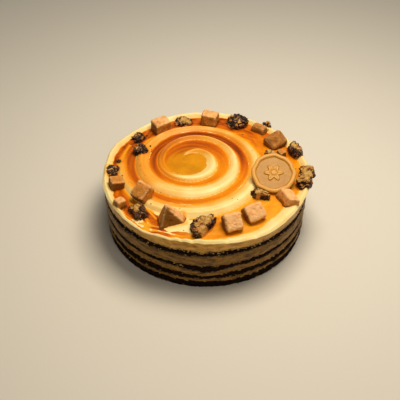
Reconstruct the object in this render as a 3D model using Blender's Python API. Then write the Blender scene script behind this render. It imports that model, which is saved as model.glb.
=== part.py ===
"""A round caramel torte: layers of cream and cocoa sponge under a cream top spread in a spiral,
with fudge pieces, chopped dates and a caramel chocolate seal set in the sauce round its edge.

Units are metres and +Z is up. The origin is the centre of the flat underside, +X is the right and
+Y the back of the torte as it faces the viewer. Angles round the torte are counted from +X.
"""
import math
import random
from typing import NamedTuple

import bmesh
import bpy
from mathutils import Euler, Matrix, Vector, noise
from mathutils.geometry import delaunay_2d_cdt

MM = 0.001
TURN = math.tau

# The torte as a whole
RIM_RADIUS = 90 * MM
HEIGHT = 52.5 * MM
GAP = 0.3 * MM
SEGMENTS = 60
SEED = 18

# The seams between the layers
SEAM_RADIUS = 86.8 * MM
SEAM_FLAT_RADIUS = 72 * MM
SEAM_WAVES = ((3, 0.30 * MM), (7, 0.22 * MM), (13, 0.14 * MM))
SAG_ANGLES = (math.radians(270), math.radians(25), math.radians(115), math.radians(188))
SAG_DEPTHS = (1.0, 0.6, 0.85, 0.5)
SAG_WIDTH = math.radians(11)

# The spiral that the palette knife leaves in the top
SWIRL_CENTRE = (-9.7 * MM, 12.2 * MM)
SWIRL_START = 0.84
SWIRL_END = 3.82
SWIRL_FIRST_KNOT = 0.5
SWIRL_KNOTS_A_TURN = 4
SWIRL_RADII = (9, 11.5, 18, 16, 20, 31, 37.5, 35.2, 40.2, 47, 51.5, 53.5, 63, 63.5, 66, 68)
SWIRL_WIDTHS = (1.5, 1.8, 2.2, 5.0, 5.0, 2.9, 2.4, 4.5, 8.0, 6.0, 3.3, 5.5, 8.2, 3.2, 2.5, 2.0)
RIDGE_HEIGHT = 3.3 * MM
RIDGE_FOOT = 1.25
FLOOR_DEPTH = 3.0 * MM

# The cream lip round the edge
LIP_WIDTH = 5.5 * MM
LIP_CREST = 0.4 * MM

# How deep the pieces on top are pressed in
SINK = 1.6 * MM

# How boxy a chopped date is: 1 is an egg, and less is squarer
DATE_SQUARENESS = 0.78


class Layer(NamedTuple):
    """One layer: its name, the seam above it, how far that seam sags, its radius and make."""

    name: str
    top: float
    sag: float
    radius: float
    sponge: bool


LAYERS = (
    Layer("sponge_base", 7.5 * MM, 0.3 * MM, 87.0 * MM, True),
    Layer("cream_thin", 10.5 * MM, 0.5 * MM, 87.7 * MM, False),
    Layer("sponge_low", 16.2 * MM, 3.2 * MM, 87.1 * MM, True),
    Layer("cream_mid", 22.4 * MM, 5.0 * MM, 87.9 * MM, False),
    Layer("sponge_mid", 25.2 * MM, 0.4 * MM, 87.3 * MM, True),
    Layer("cream_upper", 35.9 * MM, 0.2 * MM, 88.1 * MM, False),
    Layer("sponge_top", 40.9 * MM, 0.0 * MM, 87.4 * MM, True),
)


class Fudge(NamedTuple):
    """A cut piece of fudge: place, size, turn and leans in degrees, and how its top differs.

    The top is tapered and shifted against the base, and its height changes by slope along X.
    Skew pushes the sides out of square.
    """

    place: tuple
    size: tuple
    turn: float
    lean: tuple = (0, 0)
    taper: tuple = (1, 1)
    shift: tuple = (0, 0)
    slope: float = 0
    skew: float = 0
    rounding: float = 1.5


FUDGE = (
    Fudge((-50.5, -32.0), (15, 14.5, 12), 52, (2, -30), (0.95, 0.95), rounding=1.8),
    Fudge((-26.5, -61.6), (25.6, 15.2, 11.8), 14, (0, 0), (0.62, 0.25), (2.6, 3.0), -1.38, 0, 1.8),
    Fudge((20.0, -64.0), (15, 16, 11.8), 16, (38, -4), (0.95, 0.94), rounding=2.0),
    Fudge((38.0, -53.5), (17.5, 15, 11.5), 26, (34, -6), (0.94, 0.94), rounding=2.0),
    Fudge((66.1, -37.7), (13.0, 15.0, 9.6), 0, (0, 0), (0.72, 0.97), (1.7, 0), -0.10, -0.62, 0.9),
    Fudge((63.3, 43.2), (19, 17, 9), 30, (30, -18), (0.90, 0.90), rounding=3.0),
    Fudge((50.2, 61.6), (16.5, 11, 8), -35, (8, 0), (0.70, 0.66), (0, 1.0), rounding=2.4),
    Fudge((-75.6, -19.0), (12, 11, 10), 20, (0, 8)),
    Fudge((67.3, 24.2), (7.5, 7.5, 8), 30, (6, 0), (0.85, 0.85), rounding=0.9),
    Fudge((4.0, 73.5), (16, 15, 12), -15, (-10, 0), (0.92, 0.9)),
    Fudge((-41.0, 61.5), (17, 15, 13), 30, (0, -8), (0.85, 0.9), (2, 0)),
    Fudge((-70.5, -44.5), (9.5, 9.5, 9.5), 40, (0, 6), (0.9, 0.8)),
)


class Date(NamedTuple):
    """A chopped date: place, size, turn in degrees, point (taper to the front), waist, and slant.

    The slant pushes the back to the right and the front to the left, as a share of half the width.
    """

    place: tuple
    size: tuple
    turn: float = 0
    point: float = 0
    waist: float = 0
    detail: int = 2
    slant: float = 0


DATES = (
    Date((-3.3, -70.8), (17.6, 24.0, 13), -3, 0.78, 0, 3, 0.36),
    Date((45.2, -31.4), (15.5, 8.2, 13.5), -22, 0.1, 0, 2),
    Date((85.0, -10.3), (17, 27, 16), -14, 0.1, 0.42, 3),
    Date((80.0, 27.4), (13, 20, 12.5), 15, 0.2, 0, 2),
    Date((56.5, 13.0), (13, 15, 19.5), 8, 0, 0, 2),
    Date((30.0, 71.8), (20, 18.5, 14), 20, 0, 0.2, 3),
    Date((59.3, 68.3), (9.5, 6.5, 12), -38, 0.1, 0, 2),
    Date((-54.0, -52.6), (14.5, 17, 12), 30, 0, 0.25, 3),
    Date((-80.5, 0.0), (13, 17, 9), 5, 0, 0, 2),
    Date((-58.0, 27.5), (14, 13, 9), 50, 0.2, 0, 2),
    Date((-20.5, 73.5), (18, 14, 9), -12, 0.15, 0, 2),
    Date((-61.0, 47.5), (15, 13, 10), 40, 0, 0.2, 2),
    Date((-76.5, 14.0), (7, 6, 6), 0, 0, 0, 1),
)

# The seal, a moulded disc that leans on a date towards the viewer
SEAL_RADIUS = 18.8 * MM
SEAL_PLACE = Vector((57.3, -11.0, 4.6)) * MM
SEAL_LEAN = math.radians(22)
SEAL_SIDES = 36
SEAL_PROFILE = (
    (0.90, 0.0),
    (0.985, 0.7),
    (1.0, 3.3),
    (0.975, 3.9),
    (0.86, 4.1),
    (0.785, 3.8),
    (0.765, 3.0),
)
ROSETTE_PETALS = 6
ROSETTE_RADIUS = 8.6 * MM
ROSETTE_HEIGHT = 0.6 * MM

# Finishes: sRGB colour, roughness
FINISHES = {
    "cream": ((0.98, 0.87, 0.58), 0.35),
    "sponge": ((0.11, 0.06, 0.03), 0.9),
    "fudge": ((0.83, 0.55, 0.31), 0.5),
    "date": ((0.20, 0.11, 0.06), 0.45),
    "seal": ((0.88, 0.65, 0.38), 0.4),
}


def linear(level: float) -> float:
    """Turn one sRGB level into a linear one."""
    return level / 12.92 if level <= 0.04045 else ((level + 0.055) / 1.055) ** 2.4


def smooth_step(low: float, high: float, value: float) -> float:
    """Rise smoothly from 0 at low to 1 at high."""
    part = min(max((value - low) / (high - low), 0.0), 1.0)
    return part * part * (3 - 2 * part)


def bell(distance: float) -> float:
    """A rounded hump: 1 at 0, and 0 from a distance of 1."""
    return (1 - min(distance * distance, 1.0)) ** 2


def finish(name: str) -> bpy.types.Material:
    """Get or make the material of a finish."""
    material = bpy.data.materials.get(name)
    if material is None:
        colour, roughness = FINISHES[name]
        material = bpy.data.materials.new(name)
        material.use_nodes = True
        shader = material.node_tree.nodes["Principled BSDF"]
        shader.inputs["Base Color"].default_value = (*map(linear, colour), 1)
        shader.inputs["Roughness"].default_value = roughness
        material.diffuse_color = (*colour, 1)
    return material


def place(bm: bmesh.types.BMesh, name: str, look: str, matrix: Matrix = Matrix()) -> bpy.types.Object:
    """Make a named object of a bmesh, with its own copy of a finish, and put it in its place."""
    bmesh.ops.recalc_face_normals(bm, faces=bm.faces)
    mesh = bpy.data.meshes.new(name)
    bm.to_mesh(mesh)
    bm.free()
    body = bpy.data.objects.new(name, mesh)
    body.matrix_world = matrix
    bpy.context.scene.collection.objects.link(body)
    material = finish(look).copy()
    material.name = f"{name}_{look}"
    mesh.materials.append(material)
    mesh.shade_smooth()
    mesh.set_sharp_from_angle(angle=math.radians(38))
    return body


def loft(bm: bmesh.types.BMesh, rings: list, caps: tuple = (True, True)) -> list:
    """Join rings of points with faces, each to the next, and close the ends that caps asks for."""
    rows = [[bm.verts.new(point) for point in ring] for ring in rings]
    count = len(rows[0])
    for lower, upper in zip(rows, rows[1:]):
        for i in range(count):
            j = (i + 1) % count
            bm.faces.new((lower[i], lower[j], upper[j], upper[i]))
    if caps[0]:
        bm.faces.new(reversed(rows[0]))
    if caps[1]:
        bm.faces.new(rows[-1])
    return rows


def ring(radius, height, count: int = SEGMENTS) -> list:
    """Points round the Z axis, with a radius and a height that are numbers or depend on the angle."""
    points = []
    for i in range(count):
        angle = TURN * i / count
        r = radius(angle) if callable(radius) else radius
        z = height(angle) if callable(height) else height
        points.append(Vector((r * math.cos(angle), r * math.sin(angle), z)))
    return points


def angle_between(a: float, b: float) -> float:
    """The smaller turn between two directions."""
    return abs((a - b + math.pi) % TURN - math.pi)


def seam_height(level: int, angle: float) -> float:
    """Height of the seam above a layer: nearly level, with waves and a few places where it sags."""
    layer = LAYERS[level]
    waves = sum(size * math.sin(count * angle + 1.9 * level + count) for count, size in SEAM_WAVES)
    sags = sum(
        depth * math.exp(-((angle_between(angle, at) / SAG_WIDTH) ** 2))
        for at, depth in zip(SAG_ANGLES, SAG_DEPTHS)
    )
    return layer.top + waves - layer.sag * sags


def build_layer(level: int) -> bpy.types.Object:
    """A layer between two seams: rough cocoa sponge that steps back, or cream that swells a little."""
    layer = LAYERS[level]
    rng = random.Random(SEED + level)
    rough = 0.7 * MM if layer.sponge else 0.25 * MM

    def bottom(angle: float) -> float:
        return seam_height(level - 1, angle) + GAP / 2 if level else 0.0

    def top(angle: float) -> float:
        return seam_height(level, angle) - GAP / 2

    def side(part: float) -> list:
        return ring(
            lambda angle: layer.radius + rng.uniform(-rough, rough),
            lambda angle: bottom(angle) + part * (top(angle) - bottom(angle)),
        )

    flat_bottom = LAYERS[level - 1].top + GAP / 2 if level else 0.0
    bm = bmesh.new()
    loft(bm, [
        ring(SEAM_FLAT_RADIUS, flat_bottom),
        ring(SEAM_RADIUS, bottom),
        side(0.25),
        side(0.75),
        ring(SEAM_RADIUS, top),
        ring(SEAM_FLAT_RADIUS, layer.top - GAP / 2),
    ])
    quads = [face for face in bm.faces if len(face.verts) == 4]
    bmesh.ops.triangulate(bm, faces=quads, quad_method="SHORT_EDGE")
    return place(bm, layer.name, "sponge" if layer.sponge else "cream")


def along_swirl(knots: tuple, turn: float) -> float:
    """Read a size that is given at each quarter turn, smoothly between them, in metres."""
    spot = (turn - SWIRL_FIRST_KNOT) * SWIRL_KNOTS_A_TURN
    i = min(max(int(spot), 1), len(knots) - 3)
    part = spot - i
    before, start, end, after = knots[i - 1:i + 3]
    bend = 2 * before - 5 * start + 4 * end - after
    twist = 3 * (start - end) + after - before
    return (start + 0.5 * part * (end - before + part * (bend + part * twist))) * MM


def ridge_radius(turn: float) -> float:
    """How far the ridge's crest is from the swirl's centre, by turns clockwise from the back."""
    return along_swirl(SWIRL_RADII, turn)


def ridge_width(turn: float) -> float:
    """Half the ridge's width."""
    return along_swirl(SWIRL_WIDTHS, turn)


def ridge_strength(turn: float) -> float:
    """How much of its height the ridge has: it fades in and out, and is drowned at the left."""
    fade = smooth_step(SWIRL_START, SWIRL_START + 0.2, turn) * smooth_step(SWIRL_END, SWIRL_END - 0.2, turn)
    return fade * (1 - 0.5 * math.exp(-(((turn - 1.78) / 0.12) ** 2)))


def ridge_rise(x: float, y: float) -> float:
    """Height of the spiral ridge above the floor between its turns."""
    dx, dy = x - SWIRL_CENTRE[0], y - SWIRL_CENTRE[1]
    radius = math.hypot(dx, dy)
    part = math.atan2(dx, dy) / TURN % 1.0
    rise = 0.0
    for whole in range(5):
        turn = whole + part
        if SWIRL_START < turn < SWIRL_END:
            distance = abs(radius - ridge_radius(turn)) / (RIDGE_FOOT * ridge_width(turn))
            rise = max(rise, RIDGE_HEIGHT * ridge_strength(turn) * bell(distance))
    return rise


def lip_radius(angle: float) -> float:
    """Radius of the wavy cream lip."""
    wave = 0.5 * math.sin(5 * angle + 0.6) + 0.4 * math.sin(9 * angle + 2.2)
    spread = 1.6 * math.exp(-((angle_between(angle, math.radians(350)) / 0.35) ** 2))
    return RIM_RADIUS + (wave + spread - 1.0) * MM


def lip_width(angle: float) -> float:
    """How far in from the edge the lip reaches: broad at the right in front, thin at the left."""
    broad = 4.5 * math.exp(-((angle_between(angle, math.radians(318)) / 0.42) ** 2))
    thin = 2.6 * math.exp(-((angle_between(angle, math.radians(246)) / 0.60) ** 2))
    return LIP_WIDTH + (broad - thin + 0.5 * math.sin(4 * angle)) * MM


def lip_rise(x: float, y: float) -> float:
    """Height of the cream lip above the floor of the sauce."""
    angle = math.atan2(y, x)
    inward = lip_radius(angle) - math.hypot(x, y)
    width = lip_width(angle)
    wave = 0.35 * math.sin(7 * angle + 1.0) + 0.25 * math.sin(12 * angle)
    crest = FLOOR_DEPTH + LIP_CREST + wave * MM
    return crest * smooth_step(1.25 * width, 0.45 * width, inward) * smooth_step(-2.5 * MM, 1.6 * MM, inward)


def top_height(x: float, y: float) -> float:
    """Height of the cream top at a place, with the spiral ridge and the lip."""
    return HEIGHT - FLOOR_DEPTH + max(ridge_rise(x, y), lip_rise(x, y))


def add_apart(points: list, candidate: Vector, apart: float) -> None:
    """Keep a point if it isn't too near any point kept before."""
    if all((candidate - point).length > apart for point in points):
        points.append(candidate)


def top_points(edge: list) -> list:
    """Where the cream top gets its points: its edge, rows along the spiral, then rings over the rest."""
    points = list(edge)
    turn = SWIRL_START
    while turn < SWIRL_END:
        radius, width = ridge_radius(turn), ridge_width(turn)
        for across in (0.0, -0.72, 0.72, -RIDGE_FOOT, RIDGE_FOOT):
            reach = radius + across * width
            spot = Vector((math.sin(TURN * turn), math.cos(TURN * turn))) * reach + Vector(SWIRL_CENTRE)
            if spot.length < RIM_RADIUS - 9 * MM and reach > 2 * MM:
                add_apart(points, spot, 2.3 * MM)
        turn += 6.2 * MM / (TURN * max(radius, 8 * MM))
    for inset, apart in ((2.6, 3.5), (6.0, 3.5), (10.0, 3.5), (15.5, 3.5), (22, 5), (28, 5)):
        for i in range(SEGMENTS):
            angle = TURN * (i + 0.5) / SEGMENTS
            reach = lip_radius(angle) - inset * MM
            add_apart(points, Vector((math.cos(angle), math.sin(angle))) * reach, apart * MM)
    for i in range(-8, 9):
        for j in range(-8, 9):
            add_apart(points, Vector((i + 0.5 * (j % 2), 0.87 * j)) * 9 * MM, 5 * MM)
    return [point for i, point in enumerate(points) if i < SEGMENTS or point.length < SEAM_RADIUS]


def build_cream_top(sockets: bpy.types.Collection) -> bpy.types.Object:
    """The top cream: the spiral and the lip above, a side that draws in under the lip, and sockets."""
    edge = [point.xy for point in ring(lip_radius, 0)]
    flat = delaunay_2d_cdt(top_points(edge), [], [list(range(SEGMENTS))], 1, 1e-6)
    bm = bmesh.new()
    verts = [bm.verts.new((p.x, p.y, top_height(p.x, p.y))) for p in flat[0]]
    for corners in flat[2]:
        bm.faces.new([verts[i] for i in corners])
    rim = {source: verts[i] for i, sources in enumerate(flat[3]) for source in sources}
    rim = [rim[i] for i in range(SEGMENTS)]
    level = len(LAYERS) - 1
    rings = [
        ring(lambda angle: lip_radius(angle) + 0.6 * MM, HEIGHT - 2.0 * MM),
        ring(lambda angle: lip_radius(angle) - 0.6 * MM, HEIGHT - 3.8 * MM),
        ring(88.0 * MM, HEIGHT - 7.2 * MM),
        ring(SEAM_RADIUS, lambda angle: seam_height(level, angle) + GAP / 2),
        ring(SEAM_FLAT_RADIUS, LAYERS[level].top + GAP / 2),
    ]
    rows = [rim] + loft(bm, rings, (False, True))
    for i in range(SEGMENTS):
        j = (i + 1) % SEGMENTS
        bm.faces.new((rows[0][i], rows[0][j], rows[1][j], rows[1][i]))
    bmesh.ops.triangulate(bm, faces=[f for f in bm.faces if len(f.verts) == 4], quad_method="SHORT_EDGE")
    body = place(bm, "cream_top", "cream")
    cut = body.modifiers.new("sockets", "BOOLEAN")
    cut.operation = "DIFFERENCE"
    cut.operand_type = "COLLECTION"
    cut.collection = sockets
    cut.solver = "EXACT"
    return body


def make_socket(body: bpy.types.Object, sockets: bpy.types.Collection) -> None:
    """Add the hidden cutter that leaves a gap round a piece pressed into the cream."""
    bm = bmesh.new()
    bm.from_mesh(body.data)
    bm.normal_update()
    for vert in bm.verts:
        vert.co += vert.normal * GAP * vert.calc_shell_factor()
    mesh = bpy.data.meshes.new(f"{body.name}_socket")
    bm.to_mesh(mesh)
    bm.free()
    cutter = bpy.data.objects.new(mesh.name, mesh)
    cutter.matrix_world = body.matrix_world
    cutter.hide_render = True
    cutter.display_type = "WIRE"
    sockets.objects.link(cutter)


def build_fudge(name: str, piece: Fudge, rng: random.Random) -> bpy.types.Object:
    """A cut block of fudge with worn edges, each corner a little out of true."""
    width, depth, height = (size * MM for size in piece.size)
    bm = bmesh.new()
    bmesh.ops.create_cube(bm, size=1)
    for vert in bm.verts:
        high = vert.co.z > 0
        x, y = (vert.co.x + piece.skew * vert.co.y) * width, vert.co.y * depth
        z = height * (1 + piece.slope * vert.co.x) * high
        if high:
            x, y = x * piece.taper[0] + piece.shift[0] * MM, y * piece.taper[1] + piece.shift[1] * MM
        jitter = Vector((rng.uniform(-1, 1), rng.uniform(-1, 1), rng.uniform(-1, 0.4) * high))
        vert.co = Vector((x, y, z)) + jitter * 0.04 * min(width, depth)
    bmesh.ops.bevel(
        bm, geom=bm.edges[:], offset=piece.rounding * MM, segments=2, profile=0.5, affect="EDGES", material=-1
    )
    x, y = (size * MM for size in piece.place)
    lean = Euler((math.radians(piece.lean[0]), math.radians(piece.lean[1]), 0))
    matrix = Matrix.Rotation(math.radians(piece.turn), 4, "Z") @ lean.to_matrix().to_4x4()
    lowest = min((matrix @ vert.co).z for vert in bm.verts)
    matrix.translation = (x, y, top_height(x, y) - SINK - 0.45 * lowest)
    return place(bm, name, "fudge", matrix)


def build_date(name: str, piece: Date, seed: int) -> bpy.types.Object:
    """A chopped date: a crumpled lump with a flat underside, pointed or waisted as cut."""
    half = Vector(piece.size) * MM / 2
    bm = bmesh.new()
    bmesh.ops.create_icosphere(bm, subdivisions=piece.detail, radius=1)
    for vert in bm.verts:
        way = vert.co.normalized()
        crumple = 1 + 0.26 * noise.noise(way * 2.1 + Vector((seed, 0, 0)))
        crumple += 0.16 * noise.noise(way * 4.6 + Vector((0, seed, 0)))
        cut = Vector([math.copysign(abs(part) ** DATE_SQUARENESS, part) for part in way])
        side = 1 - piece.point * max(-cut.y, 0) - piece.waist * math.exp(-((cut.y / 0.3) ** 2))
        spot = Vector((cut.x * side, cut.y, cut.z)) * crumple
        spot.x += piece.slant * spot.y
        vert.co = Vector((spot.x * half.x, spot.y * half.y, max(spot.z, -0.55) * half.z))
    x, y = (size * MM for size in piece.place)
    matrix = Matrix.Rotation(math.radians(piece.turn), 4, "Z")
    matrix.translation = (x, y, top_height(x, y) - SINK + 0.55 * half.z)
    return place(bm, name, "date", matrix)


def seal_edge(angle: float) -> float:
    """The seal's outline, a circle pressed out to a few blunt corners."""
    return 1 + 0.018 * math.cos(8 * angle + 0.5) + 0.014 * math.cos(3 * angle + 1.0)


def build_seal() -> bpy.types.Object:
    """The moulded disc: a rounded rim, a sunk face and a plain embossed rosette."""
    def petals(angle: float) -> float:
        return ROSETTE_RADIUS * (0.80 + 0.20 * math.cos(ROSETTE_PETALS * angle))

    def part_ring(radius, height: float) -> list:
        return ring(radius, height * MM, SEAL_SIDES)

    rings = [
        part_ring(lambda angle, r=r: SEAL_RADIUS * r * seal_edge(angle), z)
        for r, z in SEAL_PROFILE
    ]
    face = SEAL_PROFILE[-1][1]
    rings += [
        part_ring(lambda angle: petals(angle) + 0.5 * MM, face),
        part_ring(petals, face + ROSETTE_HEIGHT / MM),
        part_ring(lambda angle: 0.45 * petals(angle), face + ROSETTE_HEIGHT / MM),
        part_ring(1.9 * MM, face + 0.2),
    ]
    bm = bmesh.new()
    loft(bm, rings)
    matrix = Matrix.Rotation(SEAL_LEAN, 4, "X")
    matrix.translation = SEAL_PLACE + Vector((0, 0, HEIGHT))
    return place(bm, "seal", "seal", matrix)


def main() -> None:
    """Clear the scene and build the torte from the base up."""
    for thing in list(bpy.data.objects):
        bpy.data.objects.remove(thing)
    rng = random.Random(SEED)
    pieces = [build_fudge(f"fudge_{i:02d}", piece, rng) for i, piece in enumerate(FUDGE, 1)]
    pieces += [build_date(f"date_{i:02d}", piece, 3 * i + 1) for i, piece in enumerate(DATES, 1)]
    pieces.append(build_seal())
    sockets = bpy.data.collections.new("sockets")
    bpy.context.scene.collection.children.link(sockets)
    bpy.context.view_layer.update()
    for piece in pieces:
        make_socket(piece, sockets)
    for level in range(len(LAYERS)):
        build_layer(level)
    build_cream_top(sockets)


main()
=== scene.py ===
"""Visual model of a round caramel torte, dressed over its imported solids.

Units are metres and +Z is up. The origin is the centre of the underside, +X is the right and +Y
the back of the torte. Angles round the torte are counted from +X, and turns of the spiral in its
top are counted clockwise from the back. Sizes are in millimetres where a name or a comment says so.
Places are in metres, one a row.
"""
import logging
import math
import random
from dataclasses import dataclass
from enum import Enum

import bmesh
import bpy
import numpy as np
from mathutils import Matrix, Vector
from mathutils.geometry import convex_hull_2d


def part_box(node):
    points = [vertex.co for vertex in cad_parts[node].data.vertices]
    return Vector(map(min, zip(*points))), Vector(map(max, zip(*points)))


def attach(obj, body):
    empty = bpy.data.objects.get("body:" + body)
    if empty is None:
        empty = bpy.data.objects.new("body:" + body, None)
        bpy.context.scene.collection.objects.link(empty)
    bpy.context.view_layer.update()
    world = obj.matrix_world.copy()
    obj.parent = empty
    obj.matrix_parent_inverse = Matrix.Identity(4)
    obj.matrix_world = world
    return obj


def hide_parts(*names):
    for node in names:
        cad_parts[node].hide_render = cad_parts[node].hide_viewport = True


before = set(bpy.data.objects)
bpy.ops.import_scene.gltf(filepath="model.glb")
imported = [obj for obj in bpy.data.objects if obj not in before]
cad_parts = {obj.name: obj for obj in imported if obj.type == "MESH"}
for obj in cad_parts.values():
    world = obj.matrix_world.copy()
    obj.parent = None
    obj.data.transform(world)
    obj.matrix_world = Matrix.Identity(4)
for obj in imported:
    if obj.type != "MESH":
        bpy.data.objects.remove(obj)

MM = 0.001
TURN = math.tau
LOG = logging.getLogger("torte")

# The torte as a whole
RIM_RADIUS = 90 * MM
HEIGHT = 52.5 * MM
FLOOR_DEPTH = 3.0 * MM
FLOOR = HEIGHT - FLOOR_DEPTH
SEAM_RADIUS = 86.8 * MM
SEED = 18
MERGE = 2e-6
# The direction in degrees of the fold in the lip at the front
FOLD = 268.5
# Stands for nothing in reach, in millimetres
FAR = 99.0

Array = np.ndarray
Values = float | Array
Mesh = bpy.types.Mesh
Material = bpy.types.Material
Socket = bpy.types.NodeSocket

# The grid that the noise is read from
CORNERS = np.array(list(np.ndindex(2, 2, 2)))
SLOPES = np.random.default_rng(SEED).normal(size=(256, 3))
SLOPES /= np.linalg.norm(SLOPES, axis=1)[:, None]

# Settings of the nodes that add an amount of one value to another, and that mix two colours
ADD = {"operation": "MULTIPLY_ADD"}
COLOUR = {"out": 2, "data_type": "RGBA"}

# The layers from the base up: the piece, its node and the radius of its side in millimetres
LAYERS: tuple = (
    ("sponge_crumb_base", "sponge_base", 87.0), ("cream_seam_thin", "cream_thin", 87.7),
    ("sponge_crumb_low", "sponge_low", 87.1), ("cream_seam_middle", "cream_mid", 87.9),
    ("sponge_crumb_middle", "sponge_mid", 87.3), ("cream_seam_upper", "cream_upper", 88.1),
    ("sponge_crumb_top", "sponge_top", 87.4),
)
# How single blocks of fudge and single dates differ from the rest, by number
# For the fudge, soak is high for the blocks at the back and the left, and sides and wet_and_shaded_side
# darken steep faces and one side: partly painted shade.
BLOCKS: dict[str, dict] = {
    "01": {"soak_and_shade": 0.12, "sides": 0.36, "wet_and_shaded_side": (250, 0.35)},
    "02": {"soak_and_shade": 0.04, "sides": 0.15, "wet_and_shaded_side": (262, 0.92)},
    "03": {"soak_and_shade": 0.0, "sides": 0.25, "wet_and_shaded_side": (185, 0.8)},
    "04": {"soak_and_shade": 0.0, "sides": 0.25, "wet_and_shaded_side": (185, 0.8)},
    "05": {"soak_and_shade": 0.04, "sides": 0.20, "wet_and_shaded_side": (205, 0.05), "lean": (0.16, 0.17)},
    "06": {"soak_and_shade": 0.66, "wet_and_shaded_side": (200, 0.2)},
    "07": {"soak_and_shade": 0.52, "wet_and_shaded_side": (200, 0.2)},
    "08": {"soak_and_shade": 0.42, "sides": 0.40, "wet_and_shaded_side": (250, 0.2)},
    "09": {"soak_and_shade": 0.5, "sides": 0.4, "wet_and_shaded_side": (250, 0.2)},
}
DATES: dict[str, dict] = {
    "01": {
        "dry": 0.04, "rim": 0.9, "flesh": (-1.8, -77.2, 3.5), "bend": (-3.0, 0.4, 1.12),
        "moved": (0.0, -1.0),
    },
    "02": {
        "dry": 0.45, "rim": 0.0, "flesh": (43.4, -34.4, 1.7), "bend": (45.2, -0.1, 1.14),
        "moved": (0.0, -0.3),
    },
    "03": {"dry": 0.30, "rim": 0.25}, "04": {"rim": 0.5}, "06": {"dry": -0.1}, "07": {"moved": (-1.8, -2.1)},
    "08": {"dry": 0.15, "rim": 0.6}, "09": {"dry": -0.2}, "10": {"dry": -0.2},
}
# Crumbs on the side: the seam's number, mm above it, spread in mm, from and to in degrees, how many
PALE_CRUMBS: tuple = (
    (7, -0.6, 0.6, 262, 300, 26), (7, -0.8, 0.8, 0, 360, 60), (6, 0.8, 0.7, 0, 360, 40),
    (5, 0.0, 1.6, 253, 258, 14), (4, -0.5, 0.8, 0, 360, 30), (3, 0.4, 0.8, 0, 360, 30),
    (1, 0.2, 0.8, 0, 360, 30),
)
DARK_CRUMBS: tuple = (
    (7, 1.0, 1.0, 0, 360, 90), (6, -1.2, 1.4, 0, 360, 90), (5, 1.5, 2.0, 0, 360, 60),
    (4, 0.8, 0.8, 0, 360, 60),
)
# Dark specks that the eye finds at once, in millimetres
SPECKS: tuple = (
    (-59.1, 9.3), (-56.9, 5.4), (-56.0, 0.5), (-53.1, -4.4), (-51.8, -7.3), (-49.2, 2.4), (-58.8, 14.5),
    (-21.0, -49.5), (-21.0, -46.4), (-18.8, -30.0), (-60.0, -36.0),
)


class Slot(str, Enum):
    """The record's material slots."""

    CREAM = "cream"
    SPONGE = "sponge"
    FUDGE = "fudge"
    DATE = "date"
    SEAL = "seal"


# Small sums

def linear(colour: str) -> tuple:
    """Turn an sRGB hex value into a linear colour with an alpha of 1."""
    levels = [int(colour[i:i + 2], 16) / 255 for i in (0, 2, 4)]
    return (*(v / 12.92 if v <= 0.04045 else ((v + 0.055) / 1.055) ** 2.4 for v in levels), 1.0)


def scale_for(size_mm: float) -> float:
    """Texture scale that makes a pattern's features this many millimetres wide."""
    return 1000 / size_mm


def smooth(low: Values, high: Values, value: Values) -> Values:
    """Rise smoothly from 0 at low to 1 at high, which may be below low."""
    part = np.clip((value - low) / (high - low), 0, 1)
    return part * part * (3 - 2 * part)


def hump(distance: Values) -> Values:
    """A soft peak, 1 at 0 and falling off like a bell curve."""
    return np.exp(-(distance * distance))


def fade(distance: Values, over: float) -> Values:
    """Fall from 1, at a distance of 0 or less, toward 0."""
    return np.exp(-np.maximum(distance, 0) / over)


def turn_from(angle: Array, at: float) -> Array:
    """The smaller turn to directions from one that is given in degrees."""
    return np.abs((angle - math.radians(at) + math.pi) % TURN - math.pi)


def bulges(angle: Array, *rows: tuple) -> Array:
    """Add up humps round the torte, each a direction in degrees, a half width in radians and a size."""
    return sum(size * hump(turn_from(angle, at) / half) for at, half, size in rows)


def around(angle: Array, radius: Values, height: Values) -> Array:
    """Places in some directions, at a radius and a height."""
    return np.stack([radius * np.cos(angle), radius * np.sin(angle), height + 0 * angle], 1)


def follow(knots: tuple, where: Array) -> Array:
    """Read a value between knots, each a spot and the value there."""
    return np.interp(where, *np.array(knots, float).T)


def outline(places: Array) -> Array:
    """The convex ring round places as seen from above."""
    flat = places[:, :2]
    return flat[convex_hull_2d([Vector(spot) for spot in flat])]


def on_plan(spots: list) -> Array:
    """Places at height 0 for spots along X and Y in millimetres."""
    return np.pad(np.array(spots) * MM, ((0, 0), (0, 1)))


def cell_marks(cells: Array) -> Array:
    """Number each cell of a grid, always the same and without a pattern.

    Args:
        cells: Whole numbers, one cell a row.

    Returns:
        Numbers from 0 to 255.
    """
    mixed = cells.astype(np.int64) @ np.array([374761393, 668265263, 2147483647])
    mixed = (mixed ^ (mixed >> 13)) * 1274126177
    return (mixed ^ (mixed >> 16)) & 255


def cloud(spots: Array) -> Array:
    """Read gradient noise at many places, in its own grid of unit cells.

    Args:
        spots: Places, one a row.

    Returns:
        Values from about -1 to 1.
    """
    cells = np.floor(spots)
    part = spots - cells
    ease = part * part * part * (part * (part * 6 - 15) + 10)
    total = np.zeros(len(spots))
    for corner in CORNERS:
        slope = SLOPES[cell_marks(cells + corner)]
        total += np.prod(np.where(corner > 0, ease, 1 - ease), 1) * ((part - corner) * slope).sum(1)
    return 1.7 * total


def grain(places: Array, size_mm: Values, octaves: int = 1, shift: float = 0.0) -> Array:
    """Read soft noise at many places.

    Args:
        places: Where it is read.
        size_mm: Feature width in millimetres, one number or one for each axis.
        octaves: How many times finer noise is added at half the strength.
        shift: Moves the pattern, so that two readings differ.

    Returns:
        Values from about -1 to 1.
    """
    return sum(
        cloud(places / (np.asarray(size_mm) * MM / 2 ** octave) + shift + 7.3 * octave) / 2 ** octave
        for octave in range(octaves)
    )


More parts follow.
